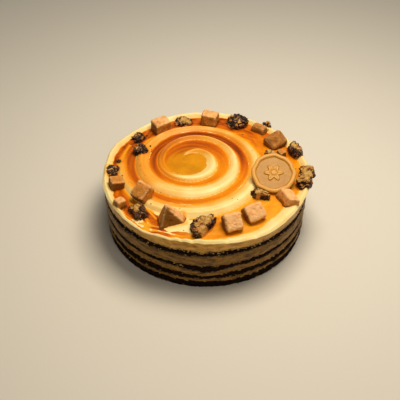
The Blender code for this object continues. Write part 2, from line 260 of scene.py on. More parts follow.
def lobes(places: Array, size_mm: float) -> tuple:
    """Read how far places are from the nearest of many scattered seeds.

    Args:
        places: Where it is read.
        size_mm: The mean distance between seeds in millimetres.

    Returns:
        Distances to the nearest seed, 0 at a seed and about 1 between seeds, how much farther the
        next seed is, and a number from 0 to 1 that each seed has for itself.
    """
    spots = places / (size_mm * MM)
    home = np.floor(spots)
    first, second = np.full(len(spots), 9.0), np.full(len(spots), 9.0)
    own = np.zeros(len(spots))
    for step in np.ndindex(3, 3, 3):
        cell = home + step - 1
        mark = cell_marks(cell)
        away = ((spots - cell - 0.5 - 0.5 * SLOPES[mark]) ** 2).sum(1)
        second = np.minimum(second, np.maximum(first, away))
        own = np.where(away < first, mark / 255, own)
        first = np.minimum(first, away)
    return np.sqrt(first), np.sqrt(second) - np.sqrt(first), own


# Materials

class Recipe:
    """A material while it is made: its nodes, and the place in the object that patterns are read at."""

    def __init__(self, name: str) -> None:
        """Start an empty material.

        Args:
            name: The material's name.
        """
        self.material = bpy.data.materials.new(name)
        self.material.use_nodes = True
        self.tree = self.material.node_tree
        self.tree.nodes.clear()
        self.place = self.add("TexCoord", out="Object")

    def add(self, kind: str, inputs: dict | None = None, out: int | str = 0,
            **settings: object) -> Socket | None:
        """Add a node with its settings, values and links.

        Args:
            kind: The node's type, without its ShaderNode prefix.
            inputs: Socket names or numbers, each with a value, an sRGB hex value or an output to link.
            out: The output that is wanted.
            settings: The node's own settings, with a colour ramp's as stops.

        Returns:
            That output, where the node has outputs.
        """
        node = self.tree.nodes.new("ShaderNode" + kind)
        for stop, (spot, colour) in enumerate(settings.pop("stops", ())):
            ramp = node.color_ramp.elements
            element = ramp[stop] if stop < 2 else ramp.new(spot)
            element.position = spot
            element.color = linear(colour)
        for name, value in settings.items():
            setattr(node, name, value)
        for name, value in (inputs or {}).items():
            if isinstance(value, Socket):
                self.tree.links.new(value, node.inputs[name])
            else:
                node.inputs[name].default_value = linear(value) if isinstance(value, str) else value
        return node.outputs[out] if len(node.outputs) else None

    def speckle(self, size_mm: float, detail: float = 2, low: float = 0.35, high: float = 0.65,
                place: Socket | None = None) -> Socket:
        """Add noise that is spread over 0 to 1.

        Args:
            size_mm: Feature width in millimetres.
            detail: How many finer octaves it has.
            low: The noise value that gives 0.
            high: The noise value that gives 1.
            place: Where it is read, if that isn't the place in the object.

        Returns:
            The spread values.
        """
        inputs = {"Vector": place or self.place, "Scale": scale_for(size_mm), "Detail": detail}
        noise = self.add("TexNoise", inputs)
        return self.add("MapRange", {"Value": noise, "From Min": low, "From Max": high})


def see_through(weight: float, green: float, blue: float, depth_mm: float = 2.0) -> dict:
    """How far light goes into the food, for the shader, with red the farthest."""
    depths = {"Subsurface Radius": (1.0, green, blue), "Subsurface Scale": depth_mm * MM}
    return {"Subsurface Weight": weight, **depths}


@dataclass(frozen=True)
class Finish:
    """What every finish shares: its roughness and refraction, and how its material ends."""

    name: str
    roughness: float
    ior: float = 1.46

    def end(self, mix: Recipe, inputs: dict) -> Material:
        """Close a material with its one shader.

        Args:
            mix: The material so far.
            inputs: The shader's values and links by name.

        Returns:
            The finished material.
        """
        inputs = {"Roughness": self.roughness, "IOR": self.ior, **inputs}
        mix.add("OutputMaterial", {"Surface": mix.add("BsdfPrincipled", inputs)})
        return mix.material


@dataclass(frozen=True)
class CreamFinish(Finish):
    """Caramel butter cream, whipped and drawn with a palette knife: moist, satin and a little see-through.

    The attribute stain says how much caramel has run into it, and it also holds painted shade on the ridges
    at the back and the left and round the feet of the pieces. The attribute toast says how tan it is: on the
    top's side partly painted shade that grows toward the seam, and on the layers between the sponges painted
    shade. The attribute crumb says how much cocoa crumb sticks to it.
    """

    pale: str = "fdebad"
    warm: str = "fad988"
    tinted: str = "f6b040"
    soaked: str = "e48a10"
    # drenched is reached mostly where the stain holds painted shade, on the ridges at the back and the left.
    drenched_and_shaded: str = "a85606"
    # toasted and dragged are the sides' tan and streak colours: partly painted shade on the top's side,
    # painted shade on the layers between the sponges.
    side_tan_and_shade: str = "dea640"
    dragged: str = "845410"
    cocoa: str = "22120a"
    cloud_mm: float = 16.0
    bubble_mm: float = 0.9
    streak_mm: float = 6.5
    crumb_mm: float = 1.3

    def make(self) -> Material:
        """Build the material.

        Returns:
            The material.
        """
        mix = Recipe(self.name)
        names = ("stain_and_shade", "tan_and_shade", "crumb")
        stain_and_shade, tan_and_shade, crumb = (mix.add("Attribute", out="Fac", attribute_name=name) for name in names)
        part = mix.add("Math", {0: mix.speckle(self.cloud_mm, 3), 1: 0.06, 2: stain_and_shade}, **ADD)
        colour = mix.add("ValToRGB", {"Fac": part}, stops=(
            (0.02, self.pale), (0.82, self.drenched_and_shaded), (0.14, self.warm), (0.30, self.tinted),
            (0.52, self.soaked),
        ))
        slant = (math.radians(9), math.radians(-7), 0)
        drawn = mix.add("Mapping", {"Vector": mix.place, "Scale": (1, 1, 3.2), "Rotation": slant})
        streak = mix.speckle(self.streak_mm, 4, 0.38, 0.72, drawn)
        side = mix.add("Mix", {0: streak, 6: self.side_tan_and_shade, 7: self.dragged}, **COLOUR)
        colour = mix.add("Mix", {0: tan_and_shade, 6: colour, 7: side}, **COLOUR)
        bits = mix.add("Math", {0: mix.speckle(self.crumb_mm, 3, 0.3, 0.7, drawn), 1: 0.9, 2: crumb}, **ADD)
        stuck = mix.add("MapRange", {"Value": bits, "From Min": 1.0, "From Max": 1.12})
        bubbles = mix.speckle(self.bubble_mm, 3)
        return self.end(mix, {
            "Base Color": mix.add("Mix", {0: stuck, 6: colour, 7: self.cocoa}, **COLOUR),
            "Normal": mix.add("Bump", {"Height": bubbles, "Distance": 0.10 * MM, "Strength": 0.5}),
            "Specular IOR Level": 0.35, "Coat Weight": 0.12, "Coat Roughness": 0.22,
            **see_through(0.05, 0.6, 0.3),
        })


@dataclass(frozen=True)
class CaramelFinish(Finish):
    """Pouring caramel, cooked sugar and cream: golden where it lies thin, deep amber where it is thick.

    The attribute depth says how thick it lies, and it also holds painted shade: it is raised at the back and
    the left of the top and round the feet of the pieces, so the deep and dark stops are partly painted shade.
    The attribute honey says where it has mixed with cream. Its skin is smooth and wet.
    """

    film: str = "fccf70"
    thin: str = "f3ae28"
    golden: str = "e98c04"
    amber: str = "cf6600"
    # deep and dark show mostly at the back and the left, where the depth holds painted shade.
    deep: str = "a04400"
    dark: str = "561f00"
    honey: str = "c68406"
    honey_light: str = "da960c"
    honey_mm: float = 13.0
    ripple_mm: float = 7.0
    streak_mm: float = 2.4

    def make(self) -> Material:
        """Build the material.

        Returns:
            The material.
        """
        mix = Recipe(self.name)
        depth, mixed = (mix.add("Attribute", out="Fac", attribute_name=name) for name in ("depth", "honey"))
        part = mix.add("Math", {0: mix.speckle(self.streak_mm, 3, 0.3, 0.7), 1: 0.05, 2: depth}, **ADD)
        part = mix.add("Math", {0: part, 1: 0.025}, operation="SUBTRACT")
        colour = mix.add("ValToRGB", {"Fac": part}, stops=(
            (0.0, self.film), (1.0, self.dark), (0.20, self.thin), (0.42, self.golden),
            (0.64, self.amber), (0.84, self.deep),
        ))
        light = mix.add("Mix", {0: mix.speckle(self.honey_mm), 6: self.honey, 7: self.honey_light}, **COLOUR)
        ripple = mix.speckle(self.ripple_mm)
        return self.end(mix, {
            "Base Color": mix.add("Mix", {0: mixed, 6: colour, 7: light}, **COLOUR),
            "Normal": mix.add("Bump", {"Height": ripple, "Distance": 0.35 * MM, "Strength": 0.5}),
            "Specular IOR Level": 0.2, "Coat Weight": 0.22, "Coat Roughness": 0.12,
            **see_through(0.1, 0.4, 0.08),
        })


@dataclass(frozen=True)
class SpongeFinish(Finish):
    """Baked cocoa sponge, cut and trimmed: near black, open and dry, with cream smeared over its pores.

    The attribute smear says how much cream the knife has dragged over it.
    """

    dark: str = "0b0503"
    light: str = "24130a"
    cream: str = "b58f4e"
    pore_mm: float = 1.1
    crumb_mm: float = 0.7
    smear_mm: float = 2.6

    def make(self) -> Material:
        """Build the material.

        Returns:
            The material.
        """
        mix = Recipe(self.name)
        crumb = mix.speckle(self.crumb_mm, 4)
        baked = mix.add("Mix", {0: crumb, 6: self.dark, 7: self.light}, **COLOUR)
        smear = mix.add("Attribute", out="Fac", attribute_name="smear")
        patch = mix.add("Math", {0: mix.speckle(self.smear_mm, 3, 0.3, 0.7), 1: 0.8, 2: smear}, **ADD)
        smeared = mix.add("MapRange", {"Value": patch, "From Min": 0.95, "From Max": 1.1})
        pores = mix.add("TexVoronoi", {"Vector": mix.place, "Scale": scale_for(self.pore_mm)})
        open_face = mix.add("Bump", {"Height": pores, "Distance": 0.6 * MM, "Strength": 0.8})
        rough = {"Height": crumb, "Distance": 0.3 * MM, "Strength": 0.7, "Normal": open_face}
        return self.end(mix, {
            "Base Color": mix.add("Mix", {0: smeared, 6: baked, 7: self.cream}, **COLOUR),
            "Normal": mix.add("Bump", rough),
            "Specular IOR Level": 0.1,
        })


@dataclass(frozen=True)
class FudgeFinish(Finish):
    """Cut cream fudge, boiled sugar and milk beaten until it grains: satin and short, with amber wet sides.

    The amber of its sides is partly painted shade. The attribute wet says where caramel has soaked in and
    also where painted shade darkens it: the steep faces, one side of each block, its foot and the blocks at
    the back and the left. The attribute wear says where the edges are pale, partly worn and partly a painted
    highlight, as it is kept to faces that point up.
    """

    # worn shows only on edges that face up: partly wear and partly a painted highlight.
    worn: str = "ffcf94"
    top: str = "ffc688"
    body: str = "d68c38"
    # soaked is reached on the steep faces, the foot, one side and the blocks at the back and the left: partly
    # painted shade.
    soaked: str = "845006"
    grain_mm: float = 0.7
    cloud_mm: float = 3.5

    def make(self) -> Material:
        """Build the material.

        Returns:
            The material.
        """
        mix = Recipe(self.name)
        wet_and_shade, wear = (mix.add("Attribute", out="Fac", attribute_name=name) for name in ("wet_and_shade", "wear"))
        part = mix.add("Math", {0: mix.speckle(self.cloud_mm, 4), 1: 0.2, 2: wet_and_shade}, **ADD)
        stops = ((0.05, self.top), (1.0, self.soaked), (0.45, self.body))
        colour = mix.add("ValToRGB", {"Fac": part}, stops=stops)
        sugar = mix.speckle(self.grain_mm, 3)
        crust = mix.add("Math", {0: sugar, 1: 0.3, 2: sugar}, **ADD)
        pale = mix.add("Math", {0: wear, 1: crust}, operation="MULTIPLY")
        return self.end(mix, {
            "Base Color": mix.add("Mix", {0: pale, 6: colour, 7: self.worn}, **COLOUR),
            "Normal": mix.add("Bump", {"Height": sugar, "Distance": 0.22 * MM, "Strength": 0.9}),
            "Specular IOR Level": 0.3,
            **see_through(0.06, 0.6, 0.3),
        })


@dataclass(frozen=True)
class DateFinish(Finish):
    """Dried dates, stoned and chopped: dark sticky skin in folds, with pale dry flakes of skin and flesh.

    The attribute fold is 0 in the creases and 1 where the dry, pale skin shows. It is lowest in the creases
    and on steep faces and highest on faces that point up: partly painted shade in the creases and on steep
    faces, and partly a painted highlight on faces that point up.
    """

    # crease, near black in the folds, is partly painted shade.
    crease: str = "0e0401"
    skin: str = "50240a"
    flesh: str = "ca8636"
    flake: str = "dcb25c"
    flake_mm: float = 1.6
    grain_mm: float = 0.5

    def make(self) -> Material:
        """Build the material.

        Returns:
            The material.
        """
        mix = Recipe(self.name)
        fold = mix.add("Attribute", out="Fac", attribute_name="fold")
        part = mix.add("Math", {0: mix.speckle(self.flake_mm, 3, 0.3, 0.7), 1: 0.28, 2: fold}, **ADD)
        stops = ((0.12, self.crease), (1.0, self.flake), (0.38, self.skin), (0.70, self.flesh))
        fine = mix.speckle(self.grain_mm, 3)
        return self.end(mix, {
            "Base Color": mix.add("ValToRGB", {"Fac": part}, stops=stops),
            "Normal": mix.add("Bump", {"Height": fine, "Distance": 0.4 * MM, "Strength": 0.8}),
            "Coat Weight": 0.25, "Coat Roughness": 0.1,
        })


@dataclass(frozen=True)
class ChocolateFinish(Finish):
    """Caramel white chocolate, cast in a mould: fine satin skin with faint clouds from cooling.

    The attribute raised says where it stands up; there it is paler, partly rubbed and partly a painted
    highlight.
    """

    base: str = "b07a18"
    bloom: str = "bc8522"
    # rubbed, the colour of the rim and the rosette, is partly a painted highlight.
    rubbed_and_lit: str = "d89e48"
    cloud_mm: float = 6.0
    grain_mm: float = 0.6

    def make(self) -> Material:
        """Build the material.

        Returns:
            The material.
        """
        mix = Recipe(self.name)
        raised = mix.add("Attribute", out="Fac", attribute_name="raised")
        cast = mix.add("Mix", {0: mix.speckle(self.cloud_mm, 4), 6: self.base, 7: self.bloom}, **COLOUR)
        fine = mix.speckle(self.grain_mm, 3)
        return self.end(mix, {
            "Base Color": mix.add("Mix", {0: raised, 6: cast, 7: self.rubbed_and_lit}, **COLOUR),
            "Normal": mix.add("Bump", {"Height": fine, "Distance": 0.05 * MM, "Strength": 0.5}),
            "Specular IOR Level": 0.22,
            **see_through(0.06, 0.5, 0.2, 1.5),
        })


@dataclass(frozen=True)
class CrumbFinish(Finish):
    """Loose cocoa crumb and vanilla seed: dry, rough and nearly black."""

    dark: str = "120a06"
    light: str = "3d2615"
    mottle_mm: float = 0.8

    def make(self) -> Material:
        """Build the material.

        Returns:
            The material.
        """
        mix = Recipe(self.name)
        mottle = mix.speckle(self.mottle_mm, 3)
        return self.end(mix, {
            "Base Color": mix.add("Mix", {0: mottle, 6: self.dark, 7: self.light}, **COLOUR),
            "Normal": mix.add("Bump", {"Height": mottle, "Distance": 0.2 * MM, "Strength": 0.8}),
        })


@dataclass(frozen=True)
class FloorFinish(Finish):
    """Matt paint on a board, the plain pale floor."""

    colour: str = "e4e1db"
    cloud_mm: float = 60.0

    def make(self) -> Material:
        """Build the material.

        Returns:
            The material.
        """
        mix = Recipe(self.name)
        relief = {"Height": mix.speckle(self.cloud_mm), "Distance": 0.05 * MM, "Strength": 0.1}
        return self.end(mix, {"Base Color": self.colour, "Normal": mix.add("Bump", relief)})


# Meshes

def round_plate(rows: Array, segments: int) -> tuple:
    """Lay out a grid that is to be rolled up round the torte's axis.

    Args:
        rows: The number of each ring, from 0 outwards.
        segments: Points round each ring.

    Returns:
        The bmesh, and each vertex's ring number and angle.
    """
    bm = bmesh.new()
    bmesh.ops.create_grid(bm, x_segments=len(rows) - 1, y_segments=segments, size=0.5)
    flat = np.array([vert.co for vert in bm.verts]) + 0.5
    return bm, rows[np.round(flat[:, 0] * (len(rows) - 1)).astype(int)], flat[:, 1] * TURN


def roll_up(bm: bmesh.types.BMesh, places: Array, marks: dict) -> None:
    """Put every vertex of a plate in its place, and merge it where it meets itself.

    Args:
        bm: The plate.
        places: The vertices' new places.
        marks: Numbers by name, one for each vertex, for the material to read.
    """
    layers = [(bm.verts.layers.float.new(name), values.tolist()) for name, values in marks.items()]
    for number, (vert, spot) in enumerate(zip(bm.verts, places.tolist())):
        vert.co = spot
        for layer, values in layers:
            vert[layer] = values[number]
    bmesh.ops.remove_doubles(bm, verts=bm.verts, dist=MERGE)


def give_attribute(mesh: Mesh, name: str, values: Array) -> None:
    """Store one number for each vertex of a mesh, for its material to read."""
    mesh.attributes.new(name, "FLOAT", "POINT").data.foreach_set("value", np.asarray(values, np.float32))


def read_verts(mesh: Mesh, what: str = "co") -> Array:
    """Read the vertices of a mesh.

    Args:
        mesh: The mesh.
        what: Their places, co, or their normals, normal.

    Returns:
        One vertex a row.
    """
    flat = np.empty(len(mesh.vertices) * 3, np.float32)
    mesh.vertices.foreach_get(what, flat)
    return flat.reshape(-1, 3).astype(float)


def put_verts(mesh: Mesh, places: Array) -> None:
    """Write the places of a mesh's vertices."""
    mesh.vertices.foreach_set("co", places.astype(np.float32).ravel())
    mesh.update()


def to_mesh(bm: bmesh.types.BMesh, name: str) -> Mesh:
    """Turn a bmesh into a smooth mesh whose faces point outwards.

    Args:
        bm: The bmesh, which is freed.
        name: The mesh's name.

    Returns:
        The mesh.
    """
    bmesh.ops.recalc_face_normals(bm, faces=bm.faces)
    mesh = bpy.data.meshes.new(name)
    bm.to_mesh(mesh)
    bm.free()
    mesh.shade_smooth()
    return mesh


# The shape of the torte

@dataclass(frozen=True)
class SwirlReading:
    """What the spiral is like at many places: its rise in metres, the rest in turns and millimetres.

    The gaps are to the cream on either side, and the edges are distances into the cream. The turn is
    that of the ridge outside a place and on_turn that of the ridge under it. The radius is from the
    spiral's centre, and drag is the knife's lines.
    """

    rise: Array
    inner_gap: Array
    outer_gap: Array
    turn: Array
    inner_edge: Array
    outer_edge: Array
    on_turn: Array
    radius: Array
    drag: Array


@dataclass(frozen=True)
class Swirl:
    """The spiral ridge that the palette knife leaves, given at each quarter turn, in millimetres."""

    centre: tuple = (-9.7, 12.2)
    start: float = 0.84
    end: float = 3.82
    first_knot: float = 0.5
    knots_a_turn: int = 4
    radii: tuple = (9, 11.5, 17.5, 15.7, 19.6, 29.5, 37.5, 35.2, 38.8, 45.8, 51.5, 53.2, 62, 63, 66, 68)
    widths: tuple = (1.5, 1.8, 2.2, 4.8, 5.2, 3.0, 2.4, 4.5, 8.0, 6.0, 3.3, 5.5, 8.2, 3.2, 2.5, 2.0)
    height: float = 3.3
    lean: float = 0.25
    foot: float = 1.25

    def along(self, knots: tuple, turn: Array) -> Array:
        """Read a size smoothly between its knots.

        Args:
            knots: The size at each quarter turn.
            turn: Where it is read, in turns.

        Returns:
            The sizes in millimetres.
        """
        table = np.array(knots, float)
        spot = (turn - self.first_knot) * self.knots_a_turn
        i = np.clip(spot.astype(int), 1, len(knots) - 3)
        part = spot - i
        before, start, end, after = (table[i + step] for step in (-1, 0, 1, 2))
        bend = 2 * before - 5 * start + 4 * end - after
        twist = 3 * (start - end) + after - before
        return start + 0.5 * part * (end - before + part * (bend + part * twist))

    def read(self, places: Array) -> SwirlReading:
        """Find the ridge and the band of sauce at many places.

        Args:
            places: Where it is read, seen from above.

        Returns:
            What the spiral is like there.
        """
        dx, dy = (places[:, :2] / MM - self.centre).T
        radius = np.hypot(dx, dy)
        part = np.arctan2(dx, dy) / TURN % 1.0
        rise, drag, on_turn = 0 * radius, 0 * radius, 0 * radius
        inner_gap, outer_gap = np.full_like(radius, FAR), np.full_like(radius, FAR)
        inner_edge, outer_edge = -inner_gap, -outer_gap
        outside = np.full_like(radius, self.end + 0.2)
        found = np.zeros(len(radius), bool)
        for whole in range(5):
            turn = part + whole
            there = (turn > self.start) & (turn < self.end)
            middle, width = self.along(self.radii, turn), self.along(self.widths, turn)
            ends = smooth(self.start, self.start + 0.2, turn) * smooth(self.end, self.end - 0.2, turn)
            strength = ends * (1 - 0.5 * hump((turn - 1.78) / 0.12)) * there
            width = width * np.clip(3 * ends, 0.05, 1)
            off = radius - middle
            across = np.clip(off / width, -1.6, 3)
            leaning = across - self.lean * (1 - across * across)
            up = strength * (1 - np.minimum((leaning / self.foot) ** 2, 1)) ** 2 * (across > -1.6)
            lines = up * cloud(np.stack([off / 2.0, turn * 5, turn * 0], 1))
            drag = np.where(self.height * up > rise, lines, drag)
            rise = np.maximum(rise, self.height * up)
            on = there & (np.abs(off) < width)
            inner_edge = np.where(on, off + width, inner_edge)
            outer_edge = np.where(on, width - off, outer_edge)
            on_turn = np.where(on, turn, on_turn)
            inner_gap = np.where(there & (off >= 0), off - width, inner_gap)
            first = there & (off < 0) & ~found
            outer_gap = np.where(first, -off - width, outer_gap)
            outside = np.where(first, turn, outside)
            found |= first
        return SwirlReading(
            rise * MM, inner_gap, outer_gap, outside, inner_edge, outer_edge, on_turn, radius, drag,
        )


@dataclass(frozen=True)
class Rim:
    """The wavy cream lip round the edge, in millimetres."""

    width: float = 5.5
    crest: float = 0.4
    shore: float = 1.1
    roll: float = 2.4
    # dents in the crest: direction in degrees, depth and half width in millimetres
    dents: tuple = ((251.5, 1.1, 2.2), (257.0, 1.3, 1.6), (263.0, 1.2, 1.5), (281, 0.6, 2.5), (296, 0.5, 2.0))

    def ragged(self, angle: Array, size_mm: float) -> Array:
        """Read noise along the edge."""
        return grain(around(angle, RIM_RADIUS, 0), size_mm)

    def radius(self, angle: Array) -> Array:
        """Radius of the lip.

        Args:
            angle: Directions round the torte.

        Returns:
            Radii in metres.
        """
        wave = 0.5 * np.sin(5 * angle + 0.6) + 0.4 * np.sin(9 * angle + 2.2)
        spread = bulges(angle, (350, 0.35, 1.6), (270, 0.6, -0.55), (301, 0.22, 1.7))
        ripple = 0.40 * self.ragged(angle, 9) + 0.22 * self.ragged(angle, 3.5)
        return RIM_RADIUS + (wave + spread + ripple - 1.2) * MM

    def reach(self, angle: Array) -> Array:
        """How far in from the edge the lip reaches, in millimetres."""
        return self.width + bulges(angle, (318, 0.42, 4.5), (234, 0.50, -2.8)) + 0.5 * np.sin(4 * angle)

    def rise(self, angle: Array, inward: Array, wobble: Array) -> Array:
        """Height of the lip above the floor.

        Args:
            angle: Directions round the torte.
            inward: Distances in from the edge in millimetres.
            wobble: What is added to the lip's reach, in millimetres.

        Returns:
            Heights in metres.
        """
        width = self.reach(angle) + wobble
        wave = 0.35 * np.sin(7 * angle + 1.0) + 0.25 * np.sin(12 * angle)
        wave = wave + 0.35 * self.ragged(angle, 7) + 0.15 * self.ragged(angle, 2.5)
        dents = ((at, half * MM / RIM_RADIUS, -deep) for at, deep, half in self.dents)
        crease = bulges(angle, (299, 0.24, -0.8), (FOLD, 0.022, 0.5), *dents)
        edge = smooth(1.3 * width, 0.3 * width, inward) * (0.48 + 0.52 * smooth(-0.4, self.roll, inward))
        return (FLOOR_DEPTH / MM + self.crest + wave + crease) * edge * MM


@dataclass
class Footprints:
    """The outlines of what is pressed into the top, as convex rings."""

    rings: list

    @classmethod
    def under(cls, names: list) -> "Footprints":
        """Outline the foot of each solid.

        Args:
            names: The solids' nodes.

        Returns:
            Their outlines.
        """
        solids = [read_verts(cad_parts[name].data) for name in names]
        feet = [max(solid[:, 2].min() + 2.5 * MM, FLOOR + 2 * MM) for solid in solids]
        return cls([outline(solid[solid[:, 2] < foot]) for solid, foot in zip(solids, feet)])

    def distance(self, places: Array) -> Array:
        """How far places are from the nearest outline.

        Args:
            places: Where it is read, seen from above.

        Returns:
            Distances in millimetres, below 0 inside an outline.
        """
        x, y = places[:, 0], places[:, 1]
        nearest = np.full_like(x, FAR)
        for ring in self.rings:
            middle = ring.mean(0)
            far = np.full_like(x, -FAR)
            for start, end in zip(ring, np.roll(ring, -1, 0)):
                side = end - start
                normal = np.array([side[1], -side[0]]) / max(np.hypot(*side), 1e-9)
                if (middle - start) @ normal > 0:
                    normal = -normal
                far = np.maximum(far, (x - start[0]) * normal[0] + (y - start[1]) * normal[1])
            nearest = np.minimum(nearest, far / MM)
        return nearest


@dataclass(frozen=True)
class TopSpots:
    """What lies round places on the top.

    The gap to the lip and the distance near from what stands on the top are in millimetres. The lines
    are noise drawn out along the rim at the left.
    """

    flat: Array
    angle: Array
    band: SwirlReading
    near: Array
    lip_gap: Array
    lines: Array


@dataclass
class TopRelief:
    """The height of the cream and the sauce over the whole top, and how the caramel lies on it.

    The knots give a value at each of some turns, outer_knots at directions in degrees. A reach is in
    millimetres, and a patch of cream is a place, a size and a height in millimetres.
    """

    swirl: Swirl
    rim: Rim
    prints: Footprints
    sauce_level: float = 0.45
    # The caramel's depth at each turn: the high values at the back and the left are partly painted shade.
    depth_and_shade_knots: tuple = (
        (0.75, 0.42), (1.0, 0.45), (1.25, 0.38), (1.5, 0.36), (1.75, 0.60), (2.0, 0.76), (2.17, 0.60),
        (2.25, 0.50), (2.33, 0.43), (2.42, 0.50), (2.58, 0.54), (2.67, 0.70), (2.75, 0.80), (3.0, 0.90),
        (3.17, 0.86), (3.25, 0.70), (3.33, 0.46), (3.42, 0.46), (3.5, 0.52), (3.58, 0.62), (3.75, 0.76),
        (4.0, 0.88),
    )
    inner_reach: tuple = (
        (0.9, 0.7), (1.75, 0.9), (2.0, 1.2), (2.5, 2.4), (2.75, 1.6), (3.0, 2.0), (3.5, 6.5),
    )
    outer_reach: tuple = (
        (0.9, 1.5), (1.25, 1.2), (1.5, 1.5), (1.75, 2.0), (2.0, 1.2), (2.5, 1.3), (3.0, 1.3), (3.5, 0.8),
    )
    # The cream ridges' tone at each turn: caramel that they have taken up, and at the back and the left
    # mostly painted shade.
    ridge_stain_and_shade_knots: tuple = (
        (0.84, 0.32), (1.0, 0.26), (1.17, 0.14), (1.3, 0.0), (1.54, 0.0), (1.60, 0.10), (1.66, 0.34),
        (1.72, 0.48), (1.80, 0.62), (1.88, 0.60), (1.96, 0.42), (2.05, 0.28), (2.17, 0.13), (2.3, 0.0),
        (2.5, 0.04), (2.58, 0.12), (2.67, 0.27), (2.8, 0.34), (3.0, 0.26), (3.15, 0.12), (3.3, 0.0),
        (3.5, 0.04), (3.62, 0.10), (3.8, 0.20),
    )
    shore_tone: float = 0.55
    # The caramel's depth outside the spiral by direction: the high values from the back round to the left are
    # partly painted shade.
    outer_knots: tuple = (
        (0, 0.40), (25, 0.50), (50, 0.62), (80, 0.78), (130, 0.80), (180, 0.80), (215, 0.74),
        (235, 0.82), (250, 0.80), (257, 0.50), (263, 0.28), (271, 0.40), (285, 0.44), (300, 0.34),
        (315, 0.30), (330, 0.32), (360, 0.40),
    )
    cream_patches: tuple = (
        (-11.5, -67.0, 6.0, 1.3), (-17.5, -68.4, 4.2, 0.9), (-23.0, -69.8, 4.0, 0.84),
        (-28.0, -71.2, 3.6, 0.78), (-38.0, -50.0, 5.0, 0.8),
    )

    def read(self, places: Array) -> dict:
        """Work out everything about the top at many places.

        Args:
            places: Where it is read, seen from above.

        Returns:
            Arrays by name: the heights cream and sauce in metres, and from 0 to 1 the sauce's depth, its
                honey and the cream's stain, the depth and the stain with painted shade in them.
        """
        flat = places * (1, 1, 0)
        angle = np.arctan2(flat[:, 1], flat[:, 0]) % TURN
        degrees = np.degrees(angle)
        inward = (self.rim.radius(angle) - np.hypot(flat[:, 0], flat[:, 1])) / MM
        band = self.swirl.read(flat)
        wobble = 0.9 * grain(flat, 11) + 0.4 * grain(flat, 4, 1, 3.0)
        lip = self.rim.rise(angle, inward, wobble)
        near = self.prints.distance(flat)
        patches = sum(
            height * MM * hump(np.hypot(flat[:, 0] / MM - x, flat[:, 1] / MM - y) / size)
            for x, y, size, height in self.cream_patches
        )
        run = np.stack([angle * 80 / 26, inward / 4.2 + 0.6 * grain(flat, 18), 0 * angle], 1)
        lines = smooth(0.0, 0.40, cloud(run) + 0.35 * cloud(run * (2.4, 2.6, 1) + 4.0))
        lines = lines * smooth(196, 222, degrees) * smooth(263, 250, degrees)
        outer = (band.outer_gap == FAR) & (band.inner_gap > 0)
        streaks = 0.40 * MM * lines * smooth(17, 10, inward) * outer
        cream = FLOOR + np.maximum(np.maximum(band.rise, lip), patches + streaks)
        pushed = 0.5 * MM * fade(near, 1.3) * (near > -1.5)
        cream += 0.10 * MM * grain(flat, 5, 2) + 0.35 * MM * band.drag + pushed
        level = self.sauce_level + 0.14 * grain(flat, 9) + 0.2 * fade(near, 0.8)
        lip_gap = inward - self.rim.shore * (self.rim.reach(angle) + wobble)
        at = TopSpots(flat, angle, band, near, lip_gap, lines)
        return {
            "cream": cream, "sauce": FLOOR + level * MM,
            "depth": self.depth(at), "honey": self.honey(at), "stain_and_shade": self.stain_and_shade(at),
        }

    def depth(self, at: TopSpots) -> Array:
        """How thick the caramel lies for its colour, with painted shade added at the back and the left and
        round the feet of the pieces.

        Args:
            at: The places.

        Returns:
            Depths from 0 to 1.
        """
        band, low = at.band, self.shore_tone
        thick = follow(self.depth_and_shade_knots, band.turn)
        thick = np.where(band.inner_gap == FAR, 0.37 + (thick - 0.37) * smooth(9, 21, band.radius), thick)
        width = np.clip(band.inner_gap + band.outer_gap, 2, 30)
        inner = smooth(-0.8, np.minimum(2.2, 0.40 * width), band.inner_gap)
        outer = smooth(-0.8, np.minimum(2.6, 0.45 * width), band.outer_gap)
        # groove: a darker line at the foot of the curl's first turn, partly thicker caramel and partly
        # painted shade.
        groove = 0.35 * hump((band.outer_gap - 1.0) / 1.1) * smooth(1.12, 0.95, band.turn)
        streak = cloud(np.stack([band.radius / 2.4, band.turn * 7, 0 * at.angle], 1))
        in_band = thick * (low + (1 - low) * inner) * (low + (1 - low) * outer) * (1 + 0.22 * streak) + groove
        drift = np.stack([at.angle * 80 / 17, at.lip_gap / 5.5 + grain(at.flat, 22), 0 * at.angle], 1)
        amount = follow(self.outer_knots, np.degrees(at.angle))
        amount = amount * (0.94 + 0.30 * cloud(drift) + 0.20 * cloud(drift * 2.3 + 3.0))
        amount = amount + (0.12 - amount) * 0.85 * at.lines
        at_lip = 0.4 + 0.6 * smooth(-0.3, 1.2, at.lip_gap)
        at_ridge = 0.25 + 0.75 * smooth(-0.3, 4.0, band.inner_gap)
        depth = np.where(band.outer_gap == FAR, amount * at_lip * at_ridge, in_band)
        # The last term darkens the caramel round the feet of the pieces: a painted contact shadow.
        return np.clip(depth + 0.18 * fade(at.near, 0.6), 0, 1)

    def honey(self, at: TopSpots) -> Array:
        """Where the caramel has mixed with cream: the pool and the first turn, at the front left most.

        Args:
            at: The places.

        Returns:
            How much cream is in it, from 0 to 1.
        """
        reach = 27 + bulges(at.band.turn % 1 * TURN, (235, 1.0, 7))
        patchy = 0.82 + 0.34 * grain(at.flat, (9, 6, 6), 2, 2.0)
        return np.clip(smooth(reach, 0.5 * reach, at.band.radius) * patchy, 0, 1)

